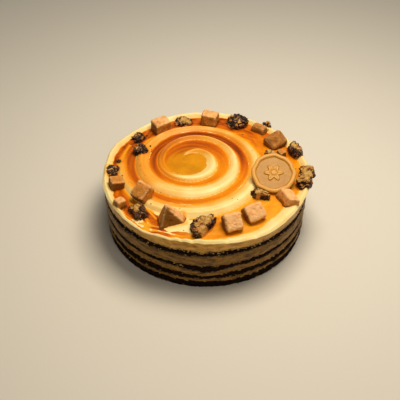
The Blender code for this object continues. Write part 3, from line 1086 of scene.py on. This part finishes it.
    def stain_and_shade(self, at: TopSpots) -> Array:
        """How much caramel has run into the cream, with painted shade added on the ridges at the back and the
        left and round the feet of the pieces.

        Args:
            at: The places.

        Returns:
            Stains from 0 to 1.
        """
        band, turn = at.band, at.band.on_turn
        within = hump(np.maximum(band.inner_edge, 0) / follow(self.inner_reach, turn))
        beyond = hump(np.maximum(band.outer_edge, 0) / follow(self.outer_reach, turn))
        next_depth = np.where(turn + 1 > self.swirl.end, 0.30, follow(self.depth_and_shade_knots, turn + 1))
        run_in = self.shore_tone * np.maximum(follow(self.depth_and_shade_knots, turn) * within, next_depth * beyond)
        # The ridges' tone from the knots darkens them at the back and the left, mostly as painted shade.
        sides = np.maximum(run_in, follow(self.ridge_stain_and_shade_knots, turn)) * (band.inner_edge > -FAR)
        # The second part of edges darkens the cream round the feet of the pieces: a painted contact shadow.
        edges = 0.22 * fade(-at.lip_gap, 0.7) * (at.lip_gap < 0) + 0.15 * fade(at.near, 0.6)
        spots = 0.5 + 0.5 * grain(at.flat, 13, 2, 9.0)
        return np.clip(sides + edges + 0.07 * spots + 0.14 * np.maximum(band.drag, -0.3), 0, 1)


@dataclass(frozen=True)
class Seams:
    """The seams between the layers, in millimetres: nearly level, ragged, and sagging in places."""

    tops: tuple = (0.0, 7.5, 10.5, 16.2, 22.4, 25.2, 35.9, 40.9)
    sags: tuple = (0.0, 0.3, 0.5, 3.2, 5.0, 0.4, 0.2, 0.0)
    waves: tuple = ((3, 0.30), (7, 0.22), (13, 0.14))
    # where they sag, in degrees, and how deeply
    sag_depths: tuple = ((270, 1.0), (25, 0.6), (115, 0.85), (188, 0.5))
    sag_width: float = math.radians(11)

    def height(self, number: int, angle: Array) -> Array:
        """Height of a seam at the side of the torte.

        Args:
            number: The seam, counted from the underside.
            angle: Directions round the torte.

        Returns:
            Heights in metres.
        """
        if not number:
            return np.zeros_like(angle)
        waves = sum(size * np.sin(count * angle + 1.9 * (number - 1) + count) for count, size in self.waves)
        rows = ((at, self.sag_width, depth) for at, depth in self.sag_depths)
        sags = self.sags[number] * bulges(angle, *rows)
        edge = around(angle, SEAM_RADIUS, 0.3 * number * SEAM_RADIUS)
        teeth = 0.65 * grain(edge, 3.2, 2) + 0.50 * grain(edge, 1.4)
        drops = 1.4 * np.clip(grain(edge, 8, 2, 4.0) - 0.45, 0, 1)
        tongue = (number == 7) * bulges(angle, (268.3, 0.026, 2.6))
        return (self.tops[number] + waves - sags + teeth - drops - tongue) * MM


# The pieces

class Piece:
    """A piece of the torte: build makes its mesh, and dress gives it its finish."""

    def build(self) -> Mesh:
        """Make the mesh, with its place in its vertices.

        Returns:
            The mesh.
        """
        raise NotImplementedError

    def dress(self, material: Material, slot: Slot, *nodes: str) -> None:
        """Build the piece in its finish, and tie it to the frame.

        Args:
            material: Its finish.
            slot: Not used; it names the record's slot for that finish.
            nodes: The solids that it stands for.
        """
        mesh = self.build()
        piece = bpy.data.objects.new(mesh.name, mesh)
        bpy.context.scene.collection.objects.link(piece)
        mesh.materials.append(material)
        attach(piece, "root")
        if nodes:
            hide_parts(*nodes)
        LOG.info("%s: %d faces", piece.name, len(mesh.polygons))


@dataclass
class CreamTop(Piece):
    """The cream top with its spiral ridge and lip, its side and the flat underside on the sponge.

    Drift says how late, from the middle out, the rings' centre moves to that of the torte.
    """

    relief: TopRelief
    seams: Seams
    segments: int = 480
    top_rows: int = 128
    side_rows: int = 22
    under_rows: int = 6
    drift: float = 1.6
    # how far down the side's rings are, and radii in millimetres under the lip, at the seam and below
    stops: tuple = (0, 0.06, 0.22, 0.56, 1.0)
    waist: float = 87.9
    foot: float = 87.4
    underside: float = 87.3

    def rows(self) -> Array:
        """Number the rings.

        Returns:
            0 to 1 over the top, to 2 down the side, to 3 back along the underside.
        """
        top = np.append(np.linspace(0, 0.993, self.top_rows) ** 0.93, [0.9962, 0.9985, 1.0])
        side = np.linspace(1, 2, self.side_rows + 1)[1:]
        return np.concatenate([top, side, np.linspace(2, 3, self.under_rows + 1)[1:]])

    def over_top(self, row: Array, angle: Array) -> Array:
        """Where a ring of the top runs: round the spiral's centre inside, along the rim outside.

        Args:
            row: Ring numbers from 0 to 1.
            angle: Directions round the torte.

        Returns:
            Places at height 0.
        """
        away = (1 - row ** self.drift)[:, None] * MM
        return around(angle, row * self.relief.rim.radius(angle), 0) + away * (*self.relief.swirl.centre, 0)

    def down_side(self, part: Array, angle: Array, edge: Array) -> Array:
        """The side: a sharp lip, drawn in under it, down to the seam with the sponge.

        Args:
            part: How far down, from 0 to 1.
            angle: Directions round the torte.
            edge: Height of the top's edge in metres.

        Returns:
            Radii and heights in metres.
        """
        lip, steady, stops = self.relief.rim.radius(angle), 0 * angle, np.array(self.stops)
        seam = self.seams.height(7, angle)
        rings = np.array([
            (lip, edge), (lip + 0.2 * MM, edge - 0.5 * MM), (lip - 1.0 * MM, edge - 1.5 * MM),
            (steady + self.waist * MM, edge - 4.6 * MM), (steady + self.foot * MM, seam),
        ])
        i = np.clip(np.searchsorted(stops, part, side="right") - 1, 0, 3)
        across = (part - stops[i]) / (stops[i + 1] - stops[i])
        across = across * across * (3 - 2 * across) * 0.4 + across * 0.6
        index = np.arange(len(part))
        above, below = rings[i, :, index], rings[i + 1, :, index]
        return (above + across[:, None] * (below - above)).T

    def build(self) -> Mesh:
        """Make the mesh with its stain, tan and crumb attributes; the stain and the tan hold painted shade in
        part.

        Returns:
            The mesh.
        """
        bm, row, angle = round_plate(self.rows(), self.segments)
        top = self.over_top(np.minimum(row, 1), angle)
        found = self.relief.read(top)
        top[:, 2] = found["cream"]
        part = np.clip(row - 1, 0, 1)
        radius, height = self.down_side(part, angle, top[:, 2])
        level = around(angle, 88 * MM, height)
        drawn = grain(level, (16, 16, 1.5), 1) * 0.30 + grain(level, (5, 5, 3), 2, 4.0) * 0.16
        fold = np.abs(turn_from(angle, FOLD) - 0.16 * part)
        crease = 0.7 * hump(fold / 0.012) * smooth(0.5, 0.0, part) * smooth(0.0, 0.05, part)
        radius = radius + (drawn * smooth(0.02, 0.2, part) + crease) * MM * (row > 1)
        under = np.clip(3 - row, 0, 1)
        seam, edge = self.seams.height(7, angle), smooth(0.75, 1, under)
        radius = np.where(row > 2, self.underside * MM * under, radius)
        height = np.where(row > 2, seam * edge + self.seams.tops[7] * MM * (1 - edge), height)
        side = row > 1
        marks = {
            "stain_and_shade": np.where(side, 0.08 + 0.14 * smooth(0.0, 0.3, part), found["stain_and_shade"]),
            # The side turns tan and darker toward the seam: partly painted shade.
            "tan_and_shade": np.where(side, smooth(0.05, 0.20, part) * (0.8 + 0.2 * part), 0),
            "crumb": np.where(side, smooth(0.62, 1.05, part) * 0.72, 0),
        }
        roll_up(bm, np.where(side[:, None], around(angle, radius, height), top), marks)
        return to_mesh(bm, "cream_spiral_top")


@dataclass
class CaramelSauce(Piece):
    """The caramel that fills the spiral and the space inside the lip: a thin closed sheet.

    It ends where it is sunk so deep in the cream. That depth and its thickness are in millimetres.
    """

    top: CreamTop
    sunk: float = 0.35
    thickness: float = 0.8
    edge_row: float = 0.985

    def build(self) -> Mesh:
        """Make the mesh with its depth and honey attributes.

        Returns:
            The mesh.
        """
        rows = self.top.rows()
        bm, row, angle = round_plate(rows[rows < self.edge_row], self.top.segments)
        places = self.top.over_top(row, angle)
        found = self.top.relief.read(places)
        places[:, 2] = found["sauce"]
        over = (found["cream"] - found["sauce"]) / MM
        roll_up(bm, places, {"depth": found["depth"], "honey": found["honey"], "over": over})
        over = bm.verts.layers.float["over"]
        gone = [face for face in bm.faces if all(vert[over] > self.sunk for vert in face.verts)]
        bmesh.ops.delete(bm, geom=gone, context="FACES")
        bm.verts.layers.float.remove(over)
        bmesh.ops.recalc_face_normals(bm, faces=bm.faces)
        if sum(face.normal.z for face in bm.faces) < 0:
            bmesh.ops.reverse_faces(bm, faces=bm.faces)
        bmesh.ops.solidify(bm, geom=bm.faces[:], thickness=self.thickness * MM)
        return to_mesh(bm, "caramel_sauce")


@dataclass
class TorteLayer(Piece):
    """One layer that runs through the torte, with the side that shows made in detail.

    Its number is that of the seam under it, its radius is in millimetres, and the less its fullness,
    the steeper its side bulges out at the seams.
    """

    name: str
    number: int
    radius: float
    seams: Seams
    segments: int = 640
    row_mm: float = 0.55
    fullness: float = 0.5

    def rows(self) -> Array:
        """Number the rings.

        Returns:
            0 to 1 along the underside, to 2 up the side, to 3 back along the top.
        """
        tall = self.seams.tops[self.number + 1] - self.seams.tops[self.number]
        side = np.linspace(1, 2, max(int(tall / self.row_mm), 5) + 1)[1:]
        return np.concatenate([[0, 0.5, 0.8, 0.93, 1.0], side, [2.07, 2.2, 2.5, 3.0]])

    def roughness(self, places: Array) -> Array:
        """Roughen the side.

        Args:
            places: Where it is read.

        Returns:
            How far the side stands out or back, in millimetres.
        """
        raise NotImplementedError

    def marks(self, part: Array, side: Array) -> dict:
        """Mark the mesh for its finish.

        Args:
            part: How far up the side, from 0 to 1.
            side: Where the side is, apart from the flat faces.

        Returns:
            Numbers by name.
        """
        raise NotImplementedError

    def build(self) -> Mesh:
        """Make the mesh of the layer.

        Returns:
            The mesh.
        """
        bm, row, angle = round_plate(self.rows(), self.segments)
        low, high = (self.seams.height(self.number + step, angle) for step in (0, 1))
        flat_low, flat_high = (self.seams.tops[self.number + step] * MM for step in (0, 1))
        part = np.clip(row - 1, 0, 1)
        height = low + part * (high - low)
        extra = (self.radius * MM - SEAM_RADIUS) * np.sin(np.pi * part) ** self.fullness
        radius = SEAM_RADIUS + extra + self.roughness(around(angle, SEAM_RADIUS, height)) * MM
        below, above, inside = row < 0.995, row > 2.005, SEAM_RADIUS - 0.4 * MM
        radius = np.select([below, above], [row * inside, (3 - row) * inside], radius)
        height = np.select([below, above], [
            flat_low + (low - flat_low) * smooth(0.8, 1.0, row),
            flat_high + (high - flat_high) * smooth(2.2, 2.0, row),
        ], height)
        roll_up(bm, around(angle, radius, height), self.marks(part, ~below & ~above))
        return to_mesh(bm, self.name)


@dataclass
class SpongeLayer(TorteLayer):
    """Cocoa sponge: an open crumb that is cut back a little, with cream dragged over it in places."""

    pit_mm: float = 2.2

    def roughness(self, places: Array) -> Array:
        """Pits where the crumb has torn, and a fine rough face."""
        torn = lobes(places, self.pit_mm)[0]
        return 0.9 * (torn - 0.45) + 0.35 * grain(places, 1.3, 2) + 0.25 * grain(places, 7)

    def marks(self, part: Array, side: Array) -> dict:
        """Cream is dragged over the seams most."""
        near_seam = np.maximum(smooth(0.30, 0.0, part), smooth(0.70, 1.0, part))
        return {"smear": np.where(side, 0.18 + 0.32 * near_seam, 0)}


@dataclass
class CreamLayer(TorteLayer):
    """Cream between two sponges, drawn smooth with the side of the knife, with a soft bulge."""

    fullness: float = 0.7

    def roughness(self, places: Array) -> Array:
        """Long shallow drag lines that slope a little, and some tears.

        Args:
            places: Where it is read.

        Returns:
            How far the side stands out or back, in millimetres.
        """
        slope = 5.0 * MM * np.sin(3 * np.arctan2(places[:, 1], places[:, 0]))
        slanted = places + slope[:, None] * (0, 0, 1)
        drawn = 0.45 * grain(slanted, (16, 16, 1.5), 2) + 0.25 * grain(slanted, (6, 6, 2.5), 2, 2.0)
        return drawn - 0.9 * np.clip(grain(places, (5.0, 5.0, 2.5), 2, 6.0) - 0.35, 0, 1)

    def marks(self, part: Array, side: Array) -> dict:
        """Crumb sticks to the seams, and all of the layer takes its finish's side colours, which are painted
        shade.
        """
        near_seam = np.maximum(smooth(0.16, 0.0, part), smooth(0.84, 1.0, part))
        return {"stain_and_shade": 0 * part, "tan_and_shade": 0 * part + 1, "crumb": np.where(side, 0.24 + 0.5 * near_seam, 0)}


@dataclass
class PressedPiece(Piece):
    """Something pressed into the top: starts from its solid, made fine and even."""

    node: str
    name: str
    voxel_mm: float = 0.5
    smooth_steps: int = 3
    wear_steps: int = 18

    def fine_copy(self) -> tuple:
        """Remesh a copy of the solid into small even faces, and round off the steps.

        Returns:
            A mesh in the solid's place, and the places that its vertices would have with its edges
            worn right off.
        """
        bm = bmesh.new()
        bm.from_mesh(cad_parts[self.node].data)
        bmesh.ops.remove_doubles(bm, verts=bm.verts, dist=1e-6)
        rough = bpy.data.meshes.new(self.name)
        bm.to_mesh(rough)
        helper = bpy.data.objects.new(self.name, rough)
        bpy.context.scene.collection.objects.link(helper)
        remesh = helper.modifiers.new("even faces", "REMESH")
        remesh.mode = "VOXEL"
        remesh.voxel_size = self.voxel_mm * MM
        even = bpy.data.meshes.new_from_object(helper.evaluated_get(bpy.context.evaluated_depsgraph_get()))
        bpy.data.objects.remove(helper)
        bpy.data.meshes.remove(rough)
        bm.clear()
        bm.from_mesh(even)
        axes = {"use_axis_x": True, "use_axis_y": True, "use_axis_z": True}
        for step in range(self.smooth_steps + self.wear_steps):
            if step == self.smooth_steps:
                bm.to_mesh(even)
            bmesh.ops.smooth_vert(bm, verts=bm.verts, factor=0.5, **axes)
        worn = np.array([vert.co for vert in bm.verts])
        bm.free()
        even.name = self.name
        even.shade_smooth()
        return even, worn


@dataclass
class FudgeBlock(PressedPiece):
    """A cut block of fudge: worn edges, a fine sugar grain and sides that have soaked up caramel.

    Caramel is in all of it by soak and more in its sides, and both darken it partly as painted shade: soak is
    high for the blocks at the back and the left, and sides darkens every steep face. The wettest side has a
    direction in degrees and what it has soaked up beyond that; that darker side is partly painted shade. It
    leans to the right and stands taller than its solid by the two parts of its height in lean. Its lumps have
    a width, octaves and a height, in millimetres.
    """

    soak_and_shade: float = 0.1
    sides: float = 0.45
    wet_and_shaded_side: tuple = (180, 0.3)
    lean: tuple = (0.0, 0.0)
    lumps: tuple = ((5.5, 1, 0.36), (2.2, 2, 0.13), (0.8, 1, 0.05))
    hole_mm: float = 3.4
    hole_depth: float = 1.9

    def build(self) -> Mesh:
        """Make the mesh with its wet and wear attributes.

        Returns:
            The mesh.
        """
        mesh, worn = self.fine_copy()
        places, normals = read_verts(mesh), read_verts(mesh, "normal")
        sharp = ((places - worn) * normals).sum(1) / MM
        places += (worn - places) * (0.36 + 0.42 * grain(places, 5, 1, 8.0))[:, None]
        relief = sum(height * grain(places, size, octaves) for size, octaves, height in self.lumps)
        holes = self.hole_depth * np.clip(0.40 - lobes(places, self.hole_mm)[0], 0, 1)
        above = (places[:, 2] - FLOOR) / MM
        across, taller = self.lean
        shift = np.stack([across * above, 0 * above, taller * above], 1) * (above > 0)[:, None]
        put_verts(mesh, places + (shift + normals * (relief - holes)[:, None]) * MM)
        # wet: caramel soaked in, and partly painted shade on the steep faces, the foot, one side and the
        # blocks at the back and the left.
        bearing, amount = self.wet_and_shaded_side
        facing = normals @ np.array([math.cos(math.radians(bearing)), math.sin(math.radians(bearing)), 0.1])
        soaked = self.soak_and_shade + 0.7 * smooth(4.0, 0.5, above) + self.sides * smooth(0.80, 0.15, normals[:, 2])
        soaked += amount * smooth(0.2, 0.65, facing)
        give_attribute(mesh, "wet_and_shade", np.clip(soaked + 0.15 * grain(places, 3.5), 0, 1))
        # Pale wear is kept to faces that point up and to dry blocks: partly a painted highlight.
        dry = smooth(0.5, 2.5, above) * (1 - 0.8 * self.soak_and_shade) * smooth(-0.1, 0.6, normals[:, 2])
        give_attribute(mesh, "wear", np.clip(sharp / 0.34 - 0.1, 0, 1) * dry)
        return mesh


@dataclass
class ChoppedDate(PressedPiece):
    """A chopped date: deep folds between crests where the skin has dried and flaked.

    Its skin is pale by dry, and dark toward its outline by rim. Cut flesh shows at a place, of a size in
    millimetres. From a place along X it is bent back by a slope, and it is wider than its solid and
    moved from it, in millimetres along X and Y.
    """

    voxel_mm: float = 0.45
    wear_steps: int = 1
    fold_mm: float = 6.4
    fold_depth: float = 1.7
    small_fold_depth: float = 0.5
    dry: float = 0.0
    rim: float = 0.4
    rim_mm: float = 2.8
    deepest: float = 1.8
    highest: float = 0.25
    flesh: tuple = (0.0, 0.0, 0.0)
    bend: tuple = (0.0, 0.0, 1.0)
    moved: tuple = (0.0, 0.0)

    def build(self) -> Mesh:
        """Make the mesh with its fold attribute.

        Returns:
            The mesh.
        """
        mesh, _ = self.fine_copy()
        places, normals = read_verts(mesh), read_verts(mesh, "normal")
        start, steep, wider = self.bend
        places[:, 0] += (wider - 1) * (places[:, 0] - places[:, 0].mean())
        places[:, 1] += steep * np.maximum(places[:, 0] - start * MM, 0)
        places[:, :2] += np.array(self.moved) * MM
        bent = places + 2.6 * MM * np.stack([grain(places, 6, 2, shift) for shift in (1.0, 2.0, 3.0)], 1)
        _, gap, own = lobes(bent, self.fold_mm)
        _, small_gap, small_own = lobes(bent, self.fold_mm / 2.3)
        fine = grain(places, 1.1, 2)
        x, y, size = self.flesh
        cut = hump(np.hypot(places[:, 0] / MM - x, places[:, 1] / MM - y) / size) if size else 0 * fine
        crease = (hump(gap / 0.12) + 0.45 * hump(small_gap / 0.13) * (own < 0.5)) * (1 - cut)
        folds = self.fold_depth * hump(gap / 0.16) + self.small_fold_depth * hump(small_gap / 0.18)
        relief = 0.20 - folds * (1 - cut) + 0.12 * fine
        put_verts(mesh, places + normals * np.clip(relief, -self.deepest, self.highest)[:, None] * MM)
        pale = smooth(0.38, 0.56, 0.60 * own + 0.40 * small_own + self.dry + 0.08 * fine)
        upper = places[places[:, 2] > places[:, 2].mean()]
        inside = -Footprints([outline(upper)]).distance(places)
        rim = self.rim * smooth(1.5 * self.rim_mm, 0.5 * self.rim_mm, inside + 1.2 * fine)
        # Paler on faces that point up and darker on steep faces and in the creases: partly a painted
        # highlight and painted shade.
        fold = 0.24 + 0.66 * pale * (1 - rim) * smooth(0.05, 0.70, normals[:, 2]) + 0.20 * fine
        fold = np.maximum(fold - 0.46 * crease, 0.70 * np.minimum(2.2 * cut, 1))
        give_attribute(mesh, "fold", np.clip(fold, 0, 1))
        return mesh


@dataclass
class ChocolateSeal(Piece):
    """The moulded disc that leans on a date: a rounded rim, a sunk face and a plain rosette.

    Its radius, its place, which is counted up from the torte's rim, the height of its face and the
    reach of its petals are in millimetres.
    """

    radius: float = 18.8
    place: tuple = (57.3, -11.0, 4.6)
    lean: float = math.radians(22)
    # its section from the middle of the underside out and over the rim: part of the radius, height in mm
    profile: tuple = (
        (0, 0), (0.5, 0), (0.86, 0.0), (0.93, 0.12), (0.975, 0.6), (0.995, 1.3), (1.0, 2.6), (0.992, 3.4),
        (0.972, 3.78), (0.94, 4.0), (0.89, 4.08), (0.85, 4.02), (0.825, 3.8), (0.808, 3.4), (0.795, 3.0),
        (0.77, 2.84),
    )
    face_rows: int = 44
    face: float = 2.82
    segments: int = 180
    petals: int = 6
    petal_reach: float = 8.6

    def rosette(self, radius: Array, angle: Array) -> Array:
        """Height of the embossed rosette.

        Args:
            radius: Distances from the middle in millimetres.
            angle: Directions round it.

        Returns:
            Heights above the face in millimetres.
        """
        edge = self.petal_reach * (0.80 + 0.20 * np.cos(self.petals * angle))
        petal = smooth(edge, edge - 1.1, radius)
        vein = 0.22 * hump(np.sin(self.petals * angle / 2) * radius / 0.7) * smooth(2.5, 4, radius)
        dip = 0.45 * hump((radius - 2.7) / 0.7)
        return 0.85 * petal * (1 - dip) - vein * petal + 0.15 * smooth(2.3, 1.7, radius)

    def build(self) -> Mesh:
        """Make the mesh with its raised attribute, and lean it.

        Returns:
            The mesh.
        """
        inner = [(reach, self.face) for reach in np.linspace(0.77, 0, self.face_rows + 1)[1:]]
        table = np.array(self.profile + tuple(inner))
        bm, step, angle = round_plate(np.arange(len(table)), self.segments)
        reach, height = table[step].T
        wave = 0.016 * np.cos(8 * angle + 0.5) + 0.012 * np.cos(3 * angle + 1.0) + 0.008 * np.cos(13 * angle)
        radius = self.radius * reach * (1 + wave * smooth(0.3, 0.8, reach))
        height = height + np.where(step >= len(self.profile) - 1, self.rosette(radius, angle), 0)
        local = around(angle, radius, height) * MM
        local += 0.05 * MM * grain(local, 3.0, 2)[:, None]
        # raised marks the rim and the rosette, which the finish paints paler: partly a painted highlight.
        raised = smooth(self.face + 0.1, self.profile[10][1] - 0.2, height) * (reach > 0.02)
        roll_up(bm, local, {"raised": raised * (step > 5)})
        place = Vector(self.place) * MM + Vector((0, 0, HEIGHT))
        bm.transform(Matrix.Translation(place) @ Matrix.Rotation(self.lean, 4, "X"))
        return to_mesh(bm, "chocolate_seal")


@dataclass
class Grains(Piece):
    """Small bits, each a squashed, uneven grain with few faces, all in one mesh.

    Their widths lie between two sizes in millimetres.
    """

    name: str
    sizes: tuple
    seed: int

    def add_grain(self, bm: bmesh.types.BMesh, rng: random.Random, size: float, uneven: tuple) -> list:
        """Add a grain at the origin.

        Args:
            bm: The mesh of them all.
            rng: Where its random numbers come from.
            size: Its width in metres.
            uneven: The least and the most that a corner is moved in or out, as a part of the width.

        Returns:
            Its vertices.
        """
        verts = bmesh.ops.create_icosphere(bm, subdivisions=1, radius=size / 2)["verts"]
        for vert in verts:
            vert.co *= rng.uniform(*uneven)
        return verts


@dataclass
class LooseBits(Grains):
    """Bits that lie on the top, flattened and sunk in by parts of their width."""

    places: list
    flatness: float
    sink: float
    relief: TopRelief

    def build(self) -> Mesh:
        """Scatter the bits on the top.

        Returns:
            The mesh.
        """
        rng = random.Random(self.seed)
        spots = on_plan(self.places)
        found = self.relief.read(spots)
        spots[:, 2] = np.maximum(found["cream"], found["sauce"])
        bm = bmesh.new()
        for spot in spots:
            size = rng.uniform(*self.sizes) * MM
            verts = self.add_grain(bm, rng, size, (0.75, 1.2))
            turn = Matrix.Rotation(rng.uniform(0, TURN), 4, "Z")
            shape = Matrix.Diagonal((1.0, rng.uniform(0.5, 0.9), self.flatness, 1.0))
            spot[2] += size * (self.flatness / 2 - self.sink)
            bmesh.ops.transform(bm, matrix=Matrix.Translation(spot) @ turn @ shape, verts=verts)
        return to_mesh(bm, self.name)


@dataclass
class SideCrumbs(Grains):
    """Crumbs that stick to the side along the seams."""

    rows: tuple
    seams: Seams

    def build(self) -> Mesh:
        """Set each row's crumbs along its seam.

        Returns:
            The mesh.
        """
        rng = random.Random(self.seed)
        bm = bmesh.new()
        for number, shift, spread, start, end, count in self.rows:
            for _ in range(count):
                angle = math.radians(rng.uniform(start, end))
                height = self.seams.height(number, np.array([angle]))[0] + (shift + rng.gauss(0, spread)) * MM
                verts = self.add_grain(bm, rng, rng.uniform(*self.sizes) * MM, (0.7, 1.25))
                spot = around(np.array([angle]), SEAM_RADIUS + 0.7 * MM, height)[0]
                shape = Matrix.Diagonal((0.6, rng.uniform(0.9, 1.6), rng.uniform(0.7, 1.0), 1.0))
                matrix = Matrix.Translation(spot) @ Matrix.Rotation(angle, 4, "Z") @ shape
                bmesh.ops.transform(bm, matrix=matrix, verts=verts)
        return to_mesh(bm, self.name)


@dataclass
class Studio:
    """A plain pale floor, soft light and the camera at the photograph's angle.

    The lens and the camera's place are in millimetres, the floor and what the lights aim at in metres.
    """

    lens: float = 63.0
    camera_place: tuple = (-4.72, -469.0, 434.2)
    look_down: float = math.radians(41.58)
    roll: float = math.radians(0.21)
    aim: tuple = (0, 0, 0.04)
    floor_size: float = 6.0
    # soft boxes: name, place in metres, side in metres, watts, colour
    lights: tuple = (
        ("key", (0.09, 0.07, 0.54), 0.28, 2.85, "fff0d6"),
        ("fill", (0.22, -0.62, 0.50), 0.5, 0.95, "ffeccc"),
    )
    world_colour: str = "f6efe0"
    world_strength: float = 0.16

    def hang_lights(self) -> None:
        """Hang the square soft boxes, each facing the torte."""
        for name, place, size, power, colour in self.lights:
            light = bpy.data.lights.new(name, "AREA")
            light.shape = "SQUARE"
            light.size = size
            light.energy = power
            light.color = linear(colour)[:3]
            lamp = bpy.data.objects.new(name, light)
            lamp.location = place
            lamp.rotation_euler = (Vector(place) - Vector(self.aim)).to_track_quat("Z", "Y").to_euler()
            bpy.context.scene.collection.objects.link(lamp)

    def build(self) -> None:
        """Set up the floor, the lights, the world and the camera."""
        bm = bmesh.new()
        bmesh.ops.create_grid(bm, x_segments=2, y_segments=2, size=self.floor_size / 2)
        floor = bpy.data.objects.new("floor", to_mesh(bm, "floor"))
        floor.data.materials.append(FloorFinish("matt floor paint", 0.85).make())
        scene = bpy.context.scene
        scene.collection.objects.link(floor)
        self.hang_lights()
        world = bpy.data.worlds.new("studio")
        world.use_nodes = True
        world.node_tree.nodes["Background"].inputs["Color"].default_value = linear(self.world_colour)
        world.node_tree.nodes["Background"].inputs["Strength"].default_value = self.world_strength
        scene.world = world
        scene.view_settings.view_transform = "Standard"
        camera = bpy.data.objects.new("camera", bpy.data.cameras.new("camera"))
        camera.data.lens = self.lens
        camera.location = Vector(self.camera_place) * MM
        tilt = Matrix.Rotation(math.pi / 2 - self.look_down, 4, "X")
        camera.rotation_euler = (tilt @ Matrix.Rotation(self.roll, 4, "Z")).to_euler()
        scene.collection.objects.link(camera)
        scene.camera = camera


def speck_places(relief: TopRelief, count: int) -> list:
    """Choose where the dark specks lie: those that the eye finds at once, and more on the cream.

    Args:
        relief: The top that they lie on.
        count: How many more are tried.

    Returns:
        Places in millimetres.
    """
    rng = random.Random(SEED)
    tried = []
    for _ in range(count):
        angle, reach = rng.uniform(0, TURN), 84 * math.sqrt(rng.random())
        tried.append((reach * math.cos(angle), reach * math.sin(angle)))
    found = relief.read(on_plan(tried))
    shown = found["cream"] > found["sauce"] + 0.2 * MM
    return [*SPECKS, *(spot for spot, on in zip(tried, shown) if on)]


def crumb_places(names: list) -> list:
    """Choose where crumbs lie: a few beside each chopped date.

    Args:
        names: The dates' nodes.

    Returns:
        Places in millimetres.
    """
    rng = random.Random(SEED + 1)
    chosen = []
    for name in names:
        low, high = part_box(name)
        middle, reach = (low + high) / 2, (high - low).length / 2
        for _ in range(3):
            angle, away = rng.uniform(0, TURN), reach * rng.uniform(0.75, 1.1)
            spot = middle.xy + Vector((math.cos(angle), math.sin(angle))) * away
            if spot.length < RIM_RADIUS - 5 * MM:
                chosen.append(tuple(spot / MM))
    return chosen


def main() -> None:
    """Build the torte from the base up, then the studio."""
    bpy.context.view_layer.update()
    seams = Seams()
    blocks = sorted(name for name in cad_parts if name.startswith("fudge_"))
    chopped = sorted(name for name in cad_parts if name.startswith("date_"))
    relief = TopRelief(Swirl(), Rim(), Footprints.under([*chopped, *blocks, "seal"]))
    sponge = SpongeFinish("baked cocoa sponge", 0.95).make()
    # The cream between the sponges is darkened in its side colours as painted shade.
    cream = CreamFinish("layer cream in shade", 0.5, side_tan_and_shade="966a1a", dragged="402807").make()
    for number, (name, node, radius) in enumerate(LAYERS):
        if node.startswith("sponge"):
            SpongeLayer(name, number, radius, seams).dress(sponge, Slot.SPONGE, node)
        else:
            CreamLayer(name, number, radius, seams).dress(cream, Slot.CREAM, node)
    top = CreamTop(relief, seams)
    top.dress(CreamFinish("whipped caramel cream", 0.42).make(), Slot.CREAM, "cream_top")
    CaramelSauce(top).dress(CaramelFinish("poured caramel sauce", 0.3, 1.49).make(), Slot.CREAM)
    fudge = FudgeFinish("grained cream fudge", 0.5).make()
    date = DateFinish("chopped dried date", 0.42).make()
    for node in chopped:
        number = node.split("_")[1]
        ChoppedDate(node, f"chopped_date_{number}", **DATES.get(number, {})).dress(date, Slot.DATE, node)
    for node in blocks:
        number = node.split("_")[1]
        FudgeBlock(node, f"fudge_block_{number}", **BLOCKS.get(number, {})).dress(fudge, Slot.FUDGE, node)
    ChocolateSeal().dress(ChocolateFinish("moulded caramel chocolate", 0.28).make(), Slot.SEAL, "seal")
    crumb = CrumbFinish("loose cocoa crumb", 0.9).make()
    where = speck_places(relief, 90)
    specks = LooseBits("vanilla_specks", (0.4, 1.1), SEED, where, flatness=0.35, sink=0.1, relief=relief)
    specks.dress(crumb, Slot.SPONGE)
    where = crumb_places(chopped)
    crumbs = LooseBits("date_crumbs", (0.8, 2.2), SEED, where, flatness=0.7, sink=0.15, relief=relief)
    crumbs.dress(date, Slot.DATE)
    light = CrumbFinish("cocoa crumb with cream", 0.8, dark="8a6328", light="d8b46a").make()
    SideCrumbs("crumbs_with_cream", (0.7, 1.5), SEED + 2, PALE_CRUMBS, seams).dress(light, Slot.CREAM)
    SideCrumbs("crumbs_on_side", (0.5, 1.3), SEED + 3, DARK_CRUMBS, seams).dress(crumb, Slot.SPONGE)
    Studio().build()


if __name__ == "__main__":
    logging.basicConfig(level=logging.INFO, format="%(message)s")
    main()
